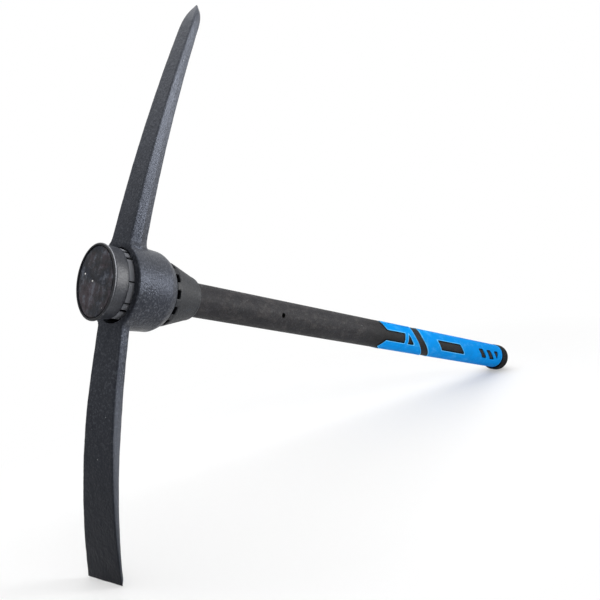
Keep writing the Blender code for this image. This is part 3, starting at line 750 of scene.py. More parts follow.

# Painted light on the plug: the share of its half sizes past which it is painted pale, where that
# starts behind the rim's face, how far above and below the middle it fades, and the rim's dark
# face
PAINTED_LIGHT_REACH = 0.96
PAINTED_LIGHT_RIM_START = 0.0011
PAINTED_LIGHT_RIM_FADE = 0.0200
PAINTED_LIGHT_NYLON = linear("#85878D")
DARK_NYLON = linear("#121318")
RIM_FACE = (RIM_ROUND, RIM_ROUND / 2)

# Wear of the disc, with the places of the nicks where the end was knocked
DISC_NICKS = ((-0.0150, DISC_SINK, 0.0070), (-0.0040, DISC_SINK, 0.0005))
DISC_NICK_RADIUS = 0.0011
STAIN_SIZE = 0.0240
SCUFF_SIZE = 0.0085
SCUFF_STRETCH = (1.25, 1, 0.8)
PIT_PITCH = 0.0065
PIT_RADIUS = 0.0006
BROWN_STAIN = linear("#443A40")
BLUE_STAIN = linear("#161C2B")
SCUFF = linear("#727782")
DENT = linear("#0A090D")
PIT = linear("#A8A6A6")
FRESH_NICK = linear("#F2F0EE")

# Wear and painted shade of the jacket: how far before and past the grip's start the painted shade
# comes in, and the share of the sleeve's half sizes at which its seats begin
HAND_RUB_SIZE = 0.0075
HAND_RUB_STRETCH = (1, 0.45, 1)
SHADE_BEFORE_GRIP = 0.060
SHADE_PAST_GRIP = 0.010
SEAT_REACH = (0.955, 0.93)
SHELTERED_SHADE = 0.22
SEAT_SHADE = 0.2
PALE_RUB = linear("#514D4C")
DARK_RUB = linear("#1D1D21")

# Rubber: the tool's stipple is about 0.25 mm; the coarser one is drawn at 1.0 mm to show
FINE_STIPPLE = 0.00025
STIPPLE = 0.0010
RUBBER_CLOUDS = 0.025
RUBBER_RUB_SIZE = 0.011
RUBBER_RUB_STRETCH = (1, 0.5, 1)
FINE_STIPPLE_DEPTH = 0.00003
STIPPLE_DEPTH = 0.00008
RUBBER_SHADE = 0.86
MOULD_LINE_SHADE = 0.5
PAINTED_SHADE_INSIDE_GRIP = 0.08

# Glass fibre: a roving is about 1 mm wide and runs the whole length
ROVING_WIDTH = 0.0010
ROVING_STRETCH = (1, 0.02, 1)
ROVING_DEPTH = 0.00010
RESIN_SHADE = 0.6

# Share of a speck's radius over which its edge fades
SPECK_EDGE = 0.3


def add(tree, kind, links=None, **values):
    """Add a node; links sets or joins its sockets, values sets its own properties."""
    made = tree.nodes.new(kind)
    for name, value in values.items():
        setattr(made, name, value)
    for name, value in (links or {}).items():
        socket = made.inputs[name]
        if isinstance(value, bpy.types.NodeSocket):
            tree.links.new(value, socket)
        elif socket.type == "RGBA":
            socket.default_value = (*value, 1.0)
        else:
            socket.default_value = value
    return made


def new_material(name, shown_colour):
    """A material whose tree is empty."""
    material = bpy.data.materials.new(name)
    material.use_nodes = True
    material.diffuse_color = (*shown_colour, 1.0)
    material.node_tree.nodes.clear()
    return material, material.node_tree


def surfaced(material, sockets):
    """The material with its shader, some sockets joined to patterns and the others set."""
    tree = material.node_tree
    shader = add(tree, "ShaderNodeBsdfPrincipled", sockets)
    add(tree, "ShaderNodeOutputMaterial", {"Surface": shader.outputs["BSDF"]})
    return material


def tool_coordinates(tree):
    """Coordinates in metres in the tool's own frame, so that patterns follow the handle."""
    source = add(tree, "ShaderNodeTexCoord").outputs["Object"]
    mapping = add(tree, "ShaderNodeMapping", {
        "Vector": source,
        "Location": TOOL.to_translation(),
        "Rotation": TOOL.to_euler(),
    }, vector_type="TEXTURE")
    return mapping.outputs["Vector"]


def blotches(tree, where, size, detail=3.0, roughness=0.5, stretch=(1, 1, 1)):
    """Soft noise whose spots are about the given size in metres."""
    stretched = add(tree, "ShaderNodeVectorMath", {0: where, 1: stretch}, operation="MULTIPLY")
    noise = add(tree, "ShaderNodeTexNoise", {
        "Vector": stretched.outputs["Vector"],
        "Scale": 1 / size,
        "Detail": detail,
        "Roughness": roughness,
    })
    return noise.outputs["Fac"]


def share_of(tree, *parts):
    """Product of parts, each a pattern stretched to a share and held at its ends.

    A part is the pattern, its low and high value, and the shares there if not 0 and 1.
    """
    product = None
    for pattern, low, high, *shares in parts:
        least, most = shares or (0.0, 1.0)
        share = add(tree, "ShaderNodeMapRange", {
            "Value": pattern, "From Min": low, "From Max": high, "To Min": least, "To Max": most,
        }).outputs["Result"]
        if product is not None:
            both = add(tree, "ShaderNodeMath", {0: product, 1: share}, operation="MULTIPLY")
            share = both.outputs[0]
        product = share
    return product


def coats(tree, base, *layers):
    """Lay colours over the base in turn; a layer is its colour and the parts of its share."""
    # A Mix node's inputs 6 and 7 are its two colours, and its output 2 is the mixed one
    for over, *parts in layers:
        mixed = add(tree, "ShaderNodeMix", {
            0: share_of(tree, *parts), 6: base, 7: over}, data_type="RGBA")
        base = mixed.outputs[2]
    return base


def embossed(tree, *layers):
    """Normal of a surface with relief on relief; a layer is a pattern and its depth."""
    relief = {}
    for pattern, depth in layers:
        bump = add(tree, "ShaderNodeBump", {"Height": pattern, "Distance": depth, **relief})
        relief = {"Normal": bump.outputs["Normal"]}
    return relief["Normal"]


def darker(shade_of, share):
    return tuple(channel * share for channel in shade_of)


def specks(tree, where, pitch, radius, rarity=0.70):
    """Part of a share for sparse dots, at most one to a cell and fewer with more rarity."""
    cells = add(tree, "ShaderNodeTexVoronoi", {"Vector": where, "Scale": 1 / pitch})
    luck = add(tree, "ShaderNodeSeparateColor", {"Color": cells.outputs["Color"]})
    size = share_of(tree, (luck.outputs["Red"], rarity, 1.0, 0.0, radius / pitch))
    inside = add(tree, "ShaderNodeMath", {
        0: size, 1: cells.outputs["Distance"]}, operation="SUBTRACT")
    return inside.outputs[0], 0.0, SPECK_EDGE * radius / pitch


def pale_edges(tree, corners, most):
    """Part of a share for paler edges, from how sharply the mesh turns there: wear on the head,
    and wear with painted edge highlights on the plastics.
    """
    turn = add(tree, "ShaderNodeNewGeometry").outputs["Pointiness"]
    return turn, *corners, 0.0, most


def forged_steel_in_black_enamel():
    """Drop-forged carbon steel, shot-blasted and sprayed with a thin black enamel.

    The blasting leaves a sandy surface that the thin paint doesn't fill, so it looks
    satin black with a cool grey bloom and pale grains, partly painted glints, paler still on
    worn edges. Its sides and upward faces carry painted sheen, and the blade's lower end painted
    shade.
    """
    colours = settings().colours
    material, tree = new_material("forged_steel_in_black_enamel", colours.paint)
    where = tool_coordinates(tree)
    fine_grit = blotches(tree, where, FINE_GRIT, detail=2.0)
    grit = blotches(tree, where, GRIT, roughness=0.65)
    coarse_grit = blotches(tree, where, COARSE_GRIT, roughness=0.7)
    bloom = blotches(tree, where, PAINT_BLOOM, detail=4.0, roughness=0.6)
    height = add(tree, "ShaderNodeSeparateXYZ", {"Vector": where}).outputs["Z"]
    normal = add(tree, "ShaderNodeNewGeometry").outputs["Normal"]
    facing = add(tree, "ShaderNodeSeparateXYZ", {"Vector": normal}).outputs
    sideways = add(tree, "ShaderNodeMath", {0: facing["X"]}, operation="ABSOLUTE").outputs[0]
    base = coats(
        tree, darker(colours.paint, PAINT_SHADE),
        (colours.paint, (bloom, 0.35, 0.70)),
        # Paint that is thin over the grit, and less so down the blade, as painted shade on its
        # lower end
        (colours.worn_paint_and_sheen, (grit, 0.50, 0.72), (height, *UP_THE_BLADE, 0.20, 0.72)),
        # Painted sheen on the blade's sides, and painted shade down its lower end, deepest on its
        # front faces
        (colours.worn_paint_and_sheen, (height, *BELOW_THE_EYE), (sideways, *BLADE_SIDES, 0.0, 0.50)),
        (PAINTED_BLADE_SHADE, (height, *DOWN_THE_BLADE, 0.28, 1.0), (sideways, *BLADE_SIDES, 1.0, 0.60)),
        # Painted sheen on the pick's sides, and a painted highlight on what faces up
        (colours.worn_paint_and_sheen, (height, *UP_THE_PICK), (sideways, *PICK_SIDES, 0.16, 0.34)),
        (colours.worn_paint_and_sheen, (facing["Z"], *UPPER_FACES, 0.0, 0.26)),
        # Corners that are worn through, and pale specks: bare grains and painted glints
        (colours.worn_paint_and_sheen, pale_edges(tree, FORGED_CORNERS, 0.9), (coarse_grit, 0.0, 1.0)),
        (BARE_GRAIN_AND_GLINT, specks(tree, where, GLINT_PITCH, GLINT_RADIUS, rarity=0.80)),
    )
    return surfaced(material, {
        "Base Color": base,
        "Roughness": share_of(tree, (bloom, 0.30, 0.75, 0.32, 0.44)),
        "Normal": embossed(
            tree, (fine_grit, FINE_GRIT_DEPTH), (grit, GRIT_DEPTH),
            (coarse_grit, COARSE_GRIT_DEPTH)),
        "IOR": 1.5,
        "Specular IOR Level": 0.23,
        "Specular Tint": COOL_GLOSS,
    })


def moulded_plastic(name, plain, roughness, gloss, grain_depth, edge_wear_and_highlight=0.0, finish=None):
    """A plastic moulded in a spark-textured tool: dull and finely pitted.

    Its clouds are where the melt flowed, and its edges are paler, as rubbing and as painted
    edge highlights. A finish is a function that lays the piece's own wear, or its painted light
    and shade, over that.
    """
    material, tree = new_material(name, plain)
    where = tool_coordinates(tree)
    pits = blotches(tree, where, SPARK_PITS, detail=2.0)
    grain = blotches(tree, where, SPARK_GRAIN, roughness=0.65)
    clouds = blotches(tree, where, MELT_CLOUDS, detail=4.0, roughness=0.65)
    layers = [
        (plain, (clouds, 0.35, 0.68)),
        (PALE_PLASTIC_AND_EDGE_HIGHLIGHT, (grain, 0.50, 0.75, 0.0, 0.16)),
    ]
    if edge_wear_and_highlight:
        layers.append((PALE_PLASTIC_AND_EDGE_HIGHLIGHT, pale_edges(tree, MOULDED_CORNERS, edge_wear_and_highlight)))
    layers.append((DUST, specks(tree, where, DUST_PITCH, DUST_RADIUS)))
    base = coats(tree, darker(plain, MELT_SHADE), *layers)
    if finish:
        base = finish(tree, where, base)
    dullness = (roughness - CLOUD_POLISH, roughness + CLOUD_DULLNESS)
    return surfaced(material, {
        "Base Color": base,
        "Roughness": share_of(tree, (clouds, 0.30, 0.70, *dullness)),
        "Normal": embossed(tree, (pits, grain_depth / PITS_TO_GRAIN), (grain, grain_depth)),
        "IOR": 1.5,
        "Specular IOR Level": gloss,
    })


def painted_light_and_dark_rim(tree, where, base):
    """Painted light on the plug, pale on its tier and its rim's side, and its rim's face darker.
    """
    rubbed = add(tree, "ShaderNodeAttribute", attribute_name="rubbed").outputs["Fac"]
    along = add(tree, "ShaderNodeSeparateXYZ", {"Vector": where}).outputs["Y"]
    return coats(
        tree, base,
        # Painted light: the tier and the rim's side painted pale
        (PAINTED_LIGHT_NYLON, (rubbed, 0.0, 1.0)),
        (DARK_NYLON, (along, *RIM_FACE, 0.0, 0.75)),
    )


def knocked(tree, where, base):
    """The disc's wear: stains, scuffs, and pale dents where the end was knocked."""
    stains = blotches(tree, where, STAIN_SIZE, roughness=0.6)
    scuffs = blotches(
        tree, where, SCUFF_SIZE, detail=6.0, roughness=0.72, stretch=SCUFF_STRETCH)
    layers = [
        (BROWN_STAIN, (stains, 0.48, 0.60, 0.0, 0.75)),
        (BLUE_STAIN, (stains, 0.50, 0.38, 0.0, 0.90)),
        (SCUFF, (scuffs, 0.52, 0.64, 0.0, 0.60)),
        (DENT, (scuffs, 0.48, 0.36, 0.0, 0.85)),
        (PIT, specks(tree, where, PIT_PITCH, PIT_RADIUS, rarity=0.55)),
    ]
    for nick in DISC_NICKS:
        away = add(tree, "ShaderNodeVectorMath", {0: where, 1: nick}, operation="DISTANCE")
        spot = (away.outputs["Value"], DISC_NICK_RADIUS, DISC_NICK_RADIUS / 2)
        layers.append((FRESH_NICK, spot))
    return coats(tree, base, *layers)


def rubbed_and_shaded(tree, where, base):
    """The jacket's wear, rubbed by hands where it is bare, and painted shade in the grip and its
    seats.
    """
    rubbed = blotches(
        tree, where, HAND_RUB_SIZE, detail=4.0, roughness=0.7, stretch=HAND_RUB_STRETCH)
    along = add(tree, "ShaderNodeSeparateXYZ", {"Vector": where}).outputs["Y"]
    start = grip_sizes().grip_start
    shade_ends = (start - SHADE_BEFORE_GRIP, start + SHADE_PAST_GRIP)
    half_width, half_depth = grip_half_sizes()
    scaled = add(tree, "ShaderNodeVectorMath", {
        0: where, 1: (1 / half_width, 0.0, 1 / half_depth)}, operation="MULTIPLY")
    reach = add(tree, "ShaderNodeVectorMath", {0: scaled.outputs["Vector"]}, operation="LENGTH")
    dark = darker(settings().colours.jacket, SHELTERED_SHADE)
    return coats(
        tree, base,
        (PALE_RUB, (rubbed, 0.50, 0.68, 0.0, 0.34)),
        (DARK_RUB, (rubbed, 0.50, 0.34, 0.0, 0.40)),
        # Painted shade where the rubber sleeves surround the jacket
        (dark, (along, *shade_ends, 0.0, 0.90)),
        # The seats under the sleeves, painted dark as shade in a line round each window
        (darker(dark, SEAT_SHADE), (reach.outputs["Value"], *SEAT_REACH)),
    )


def glass_filled_nylon():
    """Injection-moulded nylon of the plug, painted pale on its tier and rim side as light."""
    return moulded_plastic(
        "glass_filled_nylon", settings().colours.plug, roughness=0.40, gloss=0.30,
        grain_depth=0.00025, edge_wear_and_highlight=0.8, finish=painted_light_and_dark_rim)


def scuffed_nylon():
    """The disc's nylon, darker than the plug's, with stains, scuffs and pale dents."""
    return moulded_plastic(
        "scuffed_nylon", settings().colours.disc, roughness=0.40, gloss=0.22,
        grain_depth=0.00030, finish=knocked)


def textured_polypropylene():
    """The collar's polypropylene, matt from its spark texture, its edges paler from rubbing and
    painted highlights.
    """
    return moulded_plastic(
        "textured_polypropylene", settings().colours.collar, roughness=0.50, gloss=0.22,
        grain_depth=0.00030, edge_wear_and_highlight=0.9)


def handled_polypropylene():
    """The jacket's polypropylene, dulled by hands where it is bare, with painted shade in the
    grip.
    """
    return moulded_plastic(
        "handled_polypropylene", settings().colours.jacket, roughness=0.56, gloss=0.08,
        grain_depth=0.00030, finish=rubbed_and_shaded)


def dark_polypropylene():
    """The butt cap's polypropylene, the darkest of the plastics, with the least texture."""
    return moulded_plastic(
        "dark_polypropylene", settings().colours.butt, roughness=0.52, gloss=0.02,
        grain_depth=0.00020)


def azure_thermoplastic_rubber():
    """Soft thermoplastic rubber moulded over the jacket.

    It is matt with a silky highlight, its colour is even with paler rubbed patches, and its
    raised lips are painted paler as a highlight.
    """
    colours = settings().colours
    material, tree = new_material("azure_thermoplastic_rubber", colours.grip)
    where = tool_coordinates(tree)
    fine_stipple = blotches(tree, where, FINE_STIPPLE, detail=2.0)
    stipple = blotches(tree, where, STIPPLE, roughness=0.6)
    clouds = blotches(tree, where, RUBBER_CLOUDS, roughness=0.6)
    rubbed = blotches(
        tree, where, RUBBER_RUB_SIZE, detail=4.0, roughness=0.7, stretch=RUBBER_RUB_STRETCH)
    lip, mould_line, inside = (
        add(tree, "ShaderNodeAttribute", attribute_name=name).outputs["Fac"]
        for name in ("lip", "mould_line", "inside")
    )
    base = coats(
        tree, darker(colours.grip, RUBBER_SHADE),
        (colours.grip, (clouds, 0.30, 0.70)),
        (colours.pale_grip_and_lip_highlight, (stipple, 0.50, 0.80, 0.0, 0.05)),
        (colours.pale_grip_and_lip_highlight, (rubbed, 0.52, 0.72, 0.0, 0.20)),
        # The lips painted paler as a highlight
        (colours.pale_grip_and_lip_highlight, (lip, 0.10, 0.75, 0.0, 0.80)),
        (darker(colours.grip, MOULD_LINE_SHADE), (mould_line, 0.0, 1.0, 0.0, 0.5)),
        # Inner faces and window walls painted dark as shade
        (darker(colours.grip, PAINTED_SHADE_INSIDE_GRIP), (inside, 0.0, 0.5)),
    )
    return surfaced(material, {
        "Base Color": base,
        "Roughness": share_of(tree, (clouds, 0.30, 0.70, 0.52, 0.60)),
        "Normal": embossed(tree, (fine_stipple, FINE_STIPPLE_DEPTH), (stipple, STIPPLE_DEPTH)),
        "IOR": 1.5,
        "Specular IOR Level": 0.012,
    })


def pultruded_glass_fibre():
    """Glass strands drawn through resin: straw coloured, glossy, with lengthwise streaks."""
    colours = settings().colours
    material, tree = new_material("pultruded_glass_fibre", colours.core)
    where = tool_coordinates(tree)
    strands = blotches(
        tree, where, ROVING_WIDTH, detail=4.0, roughness=0.6, stretch=ROVING_STRETCH)
    base = coats(
        tree, darker(colours.core, RESIN_SHADE), (colours.core, (strands, 0.35, 0.65)))
    return surfaced(material, {
        "Base Color": base,
        "Normal": embossed(tree, (strands, ROVING_DEPTH)),
        "Roughness": 0.30,
        "IOR": 1.55,
    })


# The head

def arm_section(height, front, width, depth, flare, back_draft, ridge, ridge_place):
    """Ten points round an arm: front corners, side ridges and back corners."""
    edge = min(FORGED_EDGE, width * EDGE_SHARE, depth * EDGE_SHARE)
    half = width / 2 + flare * SIDE_FLARE
    back_half = half - min(back_draft, width * EDGE_SHARE)
    back = front + depth + flare
    corner = edge + flare
    side = [
        (half - edge, front),
        (half, front + edge),
        (half + ridge, front + depth * ridge_place),
        (back_half, back - corner),
        (back_half - corner, back),
    ]
    left = [(-x, y) for x, y in reversed(side)]
    return [(x, y, height) for x, y in side + left]


def fillet(height, root, radius):
    """How far a concave root fillet stands out at a height above the root."""
    rise = min(max(height - root, 0.0), radius)
    return radius - math.sqrt(radius ** 2 - (radius - rise) ** 2)


def pick_section(height):
    head = head_sizes()
    run = max(height - PICK_ROOT, 0.0)
    share = (height - PICK_ROOT) / (head.pick_shoulder - PICK_ROOT)
    width = head.pick_root_width + (PICK_SHOULDER_WIDTH - head.pick_root_width) * share
    depth = head.pick_root_depth + (PICK_SHOULDER_DEPTH - head.pick_root_depth) * share
    front = head.eye_front + head.pick_lean * run + run ** 2 / (2 * head.pick_bend_radius)
    flare = fillet(height, PICK_ROOT, PICK_FILLET)
    ridge = PICK_RIDGE * max(0.0, 1 - (height - PICK_ROOT) / PICK_RIDGE_LENGTH)
    if height > head.pick_shoulder:
        climb = (height - head.pick_shoulder) / PICK_POINT_LENGTH
        apex = front + depth * PICK_TIP_PLACE
        back = front + depth
        front += (apex - PICK_TIP_WIDTH / 2 - front) * climb ** PICK_FRONT_POWER
        back += (apex + PICK_TIP_WIDTH / 2 - back) * climb ** PICK_BACK_POWER
        depth = back - front
        width += (PICK_TIP_WIDTH - width) * climb ** PICK_FRONT_POWER
    return arm_section(
        height, front, width, depth, flare, PICK_BACK_DRAFT, ridge, PICK_RIDGE_PLACE)


def make_pick_arm():
    """The pick, lofted from inside the boss to its tip."""
    head = head_sizes()
    fillet_end = PICK_ROOT + PICK_FILLET
    root = spread(PICK_ROOT, fillet_end, FILLET_STEPS)
    shank = spread(fillet_end, head.pick_shoulder, PICK_STEPS)
    point = spread(head.pick_shoulder, head.pick_reach, PICK_POINT_STEPS)
    base = arm_section(
        head.arm_base, head.eye_front, head.pick_root_width, head.pick_root_depth, 0.0,
        PICK_BACK_DRAFT, PICK_RIDGE, PICK_RIDGE_PLACE)
    rings = [pick_section(z) for z in root[:-1] + shank[:-1] + point]
    return loft("pick_arm", [base] + rings)


def blade_section(height):
    head = head_sizes()
    share = (height - BLADE_ROOT) / (head.blade_reach - BLADE_ROOT)
    width = head.blade_root_width + (head.blade_edge_width - head.blade_root_width) * share
    run = max(height - BLADE_ROOT - BLADE_STRAIGHT_LENGTH, 0.0)
    radius = head.blade_bend_radius
    front = head.eye_front + radius - math.sqrt(radius ** 2 - run ** 2)
    taper_start = head.bevel_start - BLADE_TAPER_LENGTH
    taper = min(max((height - taper_start) / BLADE_TAPER_LENGTH, 0.0), 1.0)
    thinned = head.blade_thin_depth - head.blade_depth
    depth = head.blade_depth + thinned * taper ** BLADE_TAPER_POWER
    if height > head.bevel_start:
        depth = BLADE_EDGE_DEPTH
    flare = fillet(height, BLADE_ROOT, BLADE_FILLET)
    return arm_section(-height, front, width, depth, flare, BLADE_BACK_DRAFT, 0.0, MIDDLE)


def make_blade_arm():
    """The mattock blade, lofted from inside the boss to its cutting edge."""
    head = head_sizes()
    fillet_end = BLADE_ROOT + BLADE_FILLET
    root = spread(BLADE_ROOT, fillet_end, FILLET_STEPS)
    shank = spread(fillet_end, head.bevel_start, BLADE_STEPS)
    base = arm_section(
        -head.arm_base, head.eye_front, head.blade_root_width, head.blade_depth, 0.0,
        BLADE_BACK_DRAFT, 0.0, MIDDLE)
    rings = [blade_section(z) for z in root[:-1] + shank + [head.blade_reach]]
    return loft("blade_arm", [base] + rings)


def make_boss():
    """The oval body of the head, chamfered in at the rear."""
    head = head_sizes()
    straight_end = head.eye_rear - BOSS_CHAMFER_LENGTH
    width = head.eye_front_half_width + BOSS_FRONT_SIDE_WALL
    depth = head.eye_front_half_depth + BOSS_FRONT_TOP_WALL
    rear_width = head.eye_rear_half_width + BOSS_REAR_SIDE_WALL
    rear_depth = head.eye_rear_half_depth + BOSS_REAR_TOP_WALL
    stations = [
        (head.eye_front, width - FORGED_EDGE, depth - FORGED_EDGE),
        (head.eye_front + FORGED_EDGE, width, depth),
    ]
    width -= BOSS_SIDE_DROP
    depth -= BOSS_TOP_DROP
    for along in spread(0.0, 1.0, BOSS_CHAMFER_STEPS):
        drop = 1 - (1 - along ** BOSS_CORNER_POWER) ** (1 / BOSS_CORNER_POWER)
        stations.append((
            straight_end + BOSS_CHAMFER_LENGTH * along,
            width + (rear_width - width) * drop,
            depth + (rear_depth - depth) * drop,
        ))
    return oval_loft("forged_head", stations, HEAD_SEGMENTS)


def make_forged_head():
    """The whole head: the boss and its two arms, with the eye cut through."""
    head = head_sizes()
    forging = make_boss()
    combine(forging, make_pick_arm(), "UNION")
    combine(forging, make_blade_arm(), "UNION")
    ends = (head.eye_front - EYE_OVERRUN, head.eye_rear + EYE_OVERRUN)
    stations = [(y, *head.eye_half_sizes(y)) for y in ends]
    combine(forging, oval_loft("eye", stations, HEAD_SEGMENTS), "DIFFERENCE")
    even_out(forging, HEAD_FACE, HEAD_SMOOTHING)
    dents = bpy.data.textures.new("forging_dents", "CLOUDS")
    dents.noise_scale = DENT_SIZE
    uneven = forging.modifiers.new("forging_dents", "DISPLACE")
    uneven.texture = dents
    uneven.texture_coords = "LOCAL"
    uneven.strength = DENT_DEPTH
    uneven.mid_level = 1.0
    settle(forging)
    forging.data.shade_smooth()
    return forging


# The head end of the handle

def facing_out(turn, half_width, half_depth):
    """Matrix that stands a cutter on an oval's edge, its local X pointing out of it."""
    spot = Vector((half_width * math.cos(turn), 0.0, half_depth * math.sin(turn)))
    facing = math.atan2(math.sin(turn) / half_depth, math.cos(turn) / half_width)
    return Matrix.Translation(spot) @ Matrix.Rotation(-facing, 4, "Y")


def rim_half_sizes():
    head = head_sizes()
    return (
        head.eye_front_half_width + RIM_SIDE_OVERHANG,
        head.eye_front_half_depth + RIM_TOP_OVERHANG,
    )


def painted_light_share(places, rim, tier, wall_end):
    """How much painted light each point of the plug takes, from 0 to 1.

    Its tier next to the eye is painted pale all round against the eye's shade, and the side of its
    rim is painted pale, fading below.
    """
    across, along, up = places.T
    near_rim = np.hypot(across / rim[0], up / rim[1]) > PAINTED_LIGHT_REACH
    depth = np.where(up > 0, tier[1], tier[2])
    near_tier = np.hypot(across / tier[0], up / depth) > PAINTED_LIGHT_REACH
    on_rim = near_rim & (along > PAINTED_LIGHT_RIM_START) & (along < RIM_THICKNESS)
    fading = np.clip((up + PAINTED_LIGHT_RIM_FADE) / (2 * PAINTED_LIGHT_RIM_FADE), 0.0, 1.0)
    return np.maximum(on_rim * fading, near_tier & (along > wall_end + PLUG_STEP))


def make_swell_plug():
    """The flared end of the handle: a rim, a wall and a notched nose inside the eye."""
    head = head_sizes()
    handle = handle_sizes()
    rim = rim_half_sizes()
    bore = grown(handle.shaft, GAP)
    rim_edge = grown(rim, -RIM_ROUND)
    disc_seat = grown(rim, -RIM_WIDTH)
    seat_floor = DISC_SINK + DISC_THICKNESS + GAP
    wall = (
        rim[0] - PLUG_SIDE_SETBACK, rim[1] - PLUG_TOP_SETBACK, rim[1] - PLUG_BOTTOM_SETBACK,
    )
    groove = grown(wall, -PLUG_GROOVE_DEPTH)
    groove_start = RIM_THICKNESS + PLUG_GROOVE_SLOPE
    groove_end = groove_start + PLUG_GROOVE_WIDTH
    wall_end = head.eye_front - PLUG_WALL_TO_EYE
    tier = grown(wall, -PLUG_STEP)
    nose_at = head.eye_front + PLUG_DEPTH_IN_EYE
    seat_at = nose_at - PLUG_SEAT_LENGTH
    mouth = head.eye_half_sizes(head.eye_front)
    seat = grown(head.eye_half_sizes(seat_at), -GAP)
    nose = grown(head.eye_half_sizes(nose_at), -GAP)
    stations = [
        (0.0, *rim_edge, rim_edge[1]),
        (RIM_ROUND, *rim, rim[1]),
        (RIM_THICKNESS, *rim, rim[1]),
        (groove_start, *groove),
        (groove_end, *groove),
        (groove_end + PLUG_GROOVE_SLOPE, *wall),
        (wall_end, *wall),
        (wall_end + PLUG_STEP, *tier),
        (
            head.eye_front, mouth[0] - PLUG_MOUTH_SIDE_CLEARANCE,
            mouth[1] - PLUG_MOUTH_TOP_CLEARANCE, mouth[1] - PLUG_MOUTH_BOTTOM_CLEARANCE,
        ),
        (seat_at, *seat, seat[1]),
        (nose_at, *nose, nose[1]),
        (nose_at, *bore, bore[1]),
        (seat_floor, *bore, bore[1]),
        (seat_floor, *disc_seat, disc_seat[1]),
        (0.0, *disc_seat, disc_seat[1]),
    ]
    rings = [egg(*station, PLUG_SEGMENTS) for station in stations]
    plug = loft("moulded_plug", rings, closed=True)
    notch_length = nose_at - wall_end
    along = Matrix.Translation((0, wall_end + (PLUG_STEP + notch_length) / 2, 0))
    for angle, width in NOTCHES:
        for turn in (angle, 180 - angle):
            depth = tier[1] if angle > 0 else tier[2]
            matrix = along @ facing_out(math.radians(turn), tier[0], depth)
            size = (2 * NOTCH_DEPTH, notch_length, width)
            combine(plug, box(f"plug_notch_{turn}", size, matrix), "DIFFERENCE")
    even_out(plug, PLUG_FACE, MOULD_SMOOTHING)
    settle(plug)
    plug.data.shade_smooth()
    # Painted light on the plug's tier and rim side, stored under the name rubbed
    mark(plug, "rubbed", painted_light_share(vertex_places(plug), rim, tier, wall_end))
    return plug


def make_disc():
    """The flat disc in the plug's rim, with a moat round it and its edge rounded over."""
    rim = rim_half_sizes()
    flange = grown(grown(rim, -RIM_WIDTH), -GAP)
    face = grown(flange, -DISC_MOAT_WIDTH)
    stations = [
        (DISC_SINK + DISC_THICKNESS, *flange),
        (DISC_SINK + DISC_MOAT_DEPTH, *flange),
        (DISC_SINK + DISC_MOAT_DEPTH, *face),
    ]
    for along, drop in quarter_turns(DISC_EDGE_STEPS):
        edge = grown(face, -DISC_EDGE * drop)
        stations.append((DISC_SINK + DISC_EDGE * (1 - along), *edge))
    return shade(oval_loft("flat_disc", stations, PLUG_SEGMENTS))


def make_collar():
    """The cone behind the head, hollow in front and notched round its front edge."""
    head = head_sizes()
    handle = handle_sizes()
    start = head.eye_rear + GAP
    end = start + handle.collar_length
    bore = grown(handle.shaft, GAP)
    wide = (
        head.eye_rear_half_width + BOSS_REAR_SIDE_WALL,
        head.eye_rear_half_depth + BOSS_REAR_TOP_WALL - COLLAR_TOP_SETBACK,
    )
    neck = (
        handle.shaft_half_width + COLLAR_NECK_SIDE_WALL,
        handle.shaft_half_depth + COLLAR_NECK_TOP_WALL,
    )
    lip = grown(bore, COLLAR_LIP)
    hollow = grown(wide, -COLLAR_WALL)
    neck_at = end - COLLAR_NECK_ROUND
    band_end = start + COLLAR_BAND_LENGTH
    stations = [(start, *wide), (band_end, *wide)]
    for along, drop in quarter_turns(COLLAR_NECK_STEPS):
        stations.append((
            neck_at + COLLAR_NECK_ROUND * along,
            neck[0] + (lip[0] - neck[0]) * drop,
            neck[1] + (lip[1] - neck[1]) * drop,
        ))
    stations += [
        (end, *bore),
        (end - COLLAR_BORE_LENGTH, *bore),
        (band_end, *hollow),
        (start, *hollow),
    ]
    collar = oval_loft("notched_collar", stations, PLUG_SEGMENTS, closed=True)
    along = Matrix.Translation((0, start, 0))
    # A cutter stands halfway over the edge and the wall, so half of it cuts
    size = (4 * COLLAR_WALL, 2 * COLLAR_NOTCH_LENGTH, COLLAR_NOTCH_WIDTH)
    for i in range(handle.collar_notches):
        turn = 2 * math.pi * i / handle.collar_notches
        matrix = along @ facing_out(turn, *wide)
        combine(collar, box(f"collar_notch_{i}", size, matrix), "DIFFERENCE")
    even_out(collar, COLLAR_FACE, MOULD_SMOOTHING)
    settle(collar)
    collar.data.shade_smooth()
    return collar


# The shaft and its grips

# Ways to draw and cut a window: from the side, by y and z, or from above, by x and y
ALONG_SIDE = Matrix(((0, 0, 1, 0), (1, 0, 0, 0), (0, 1, 0, 0), (0, 0, 0, 1)))
FROM_ABOVE = Matrix.Identity(4)


def slanted(start_at_top, long):
    """A window whose ends lean back as they come down the side of the handle."""
    grip = grip_sizes()
    return [
        (start_at_top + grip.lean_run, -grip.window_drop),
        (start_at_top + grip.lean_run + long, -grip.window_drop),
        (start_at_top + long, grip.window_top),
        (start_at_top, grip.window_top),
    ]


def tongue_outline():
    """The dark tongue that runs into the front of the grip."""
    grip = grip_sizes()
    upper = [(grip.grip_start - GRIP_LEAD, TONGUE_HALF_HEIGHT + TONGUE_FLARE_HEIGHT)]
    for share in spread(0.0, 1.0, TONGUE_FLARE_STEPS):
        upper.append((
            grip.grip_start + TONGUE_FLARE_LENGTH * share ** TONGUE_FLARE_POWER,
            TONGUE_HALF_HEIGHT + TONGUE_FLARE_HEIGHT * (1 - share),
        ))
    upper.append((grip.tongue_end, TONGUE_HALF_HEIGHT))
    return [(y, -z) for y, z in upper] + upper[::-1]


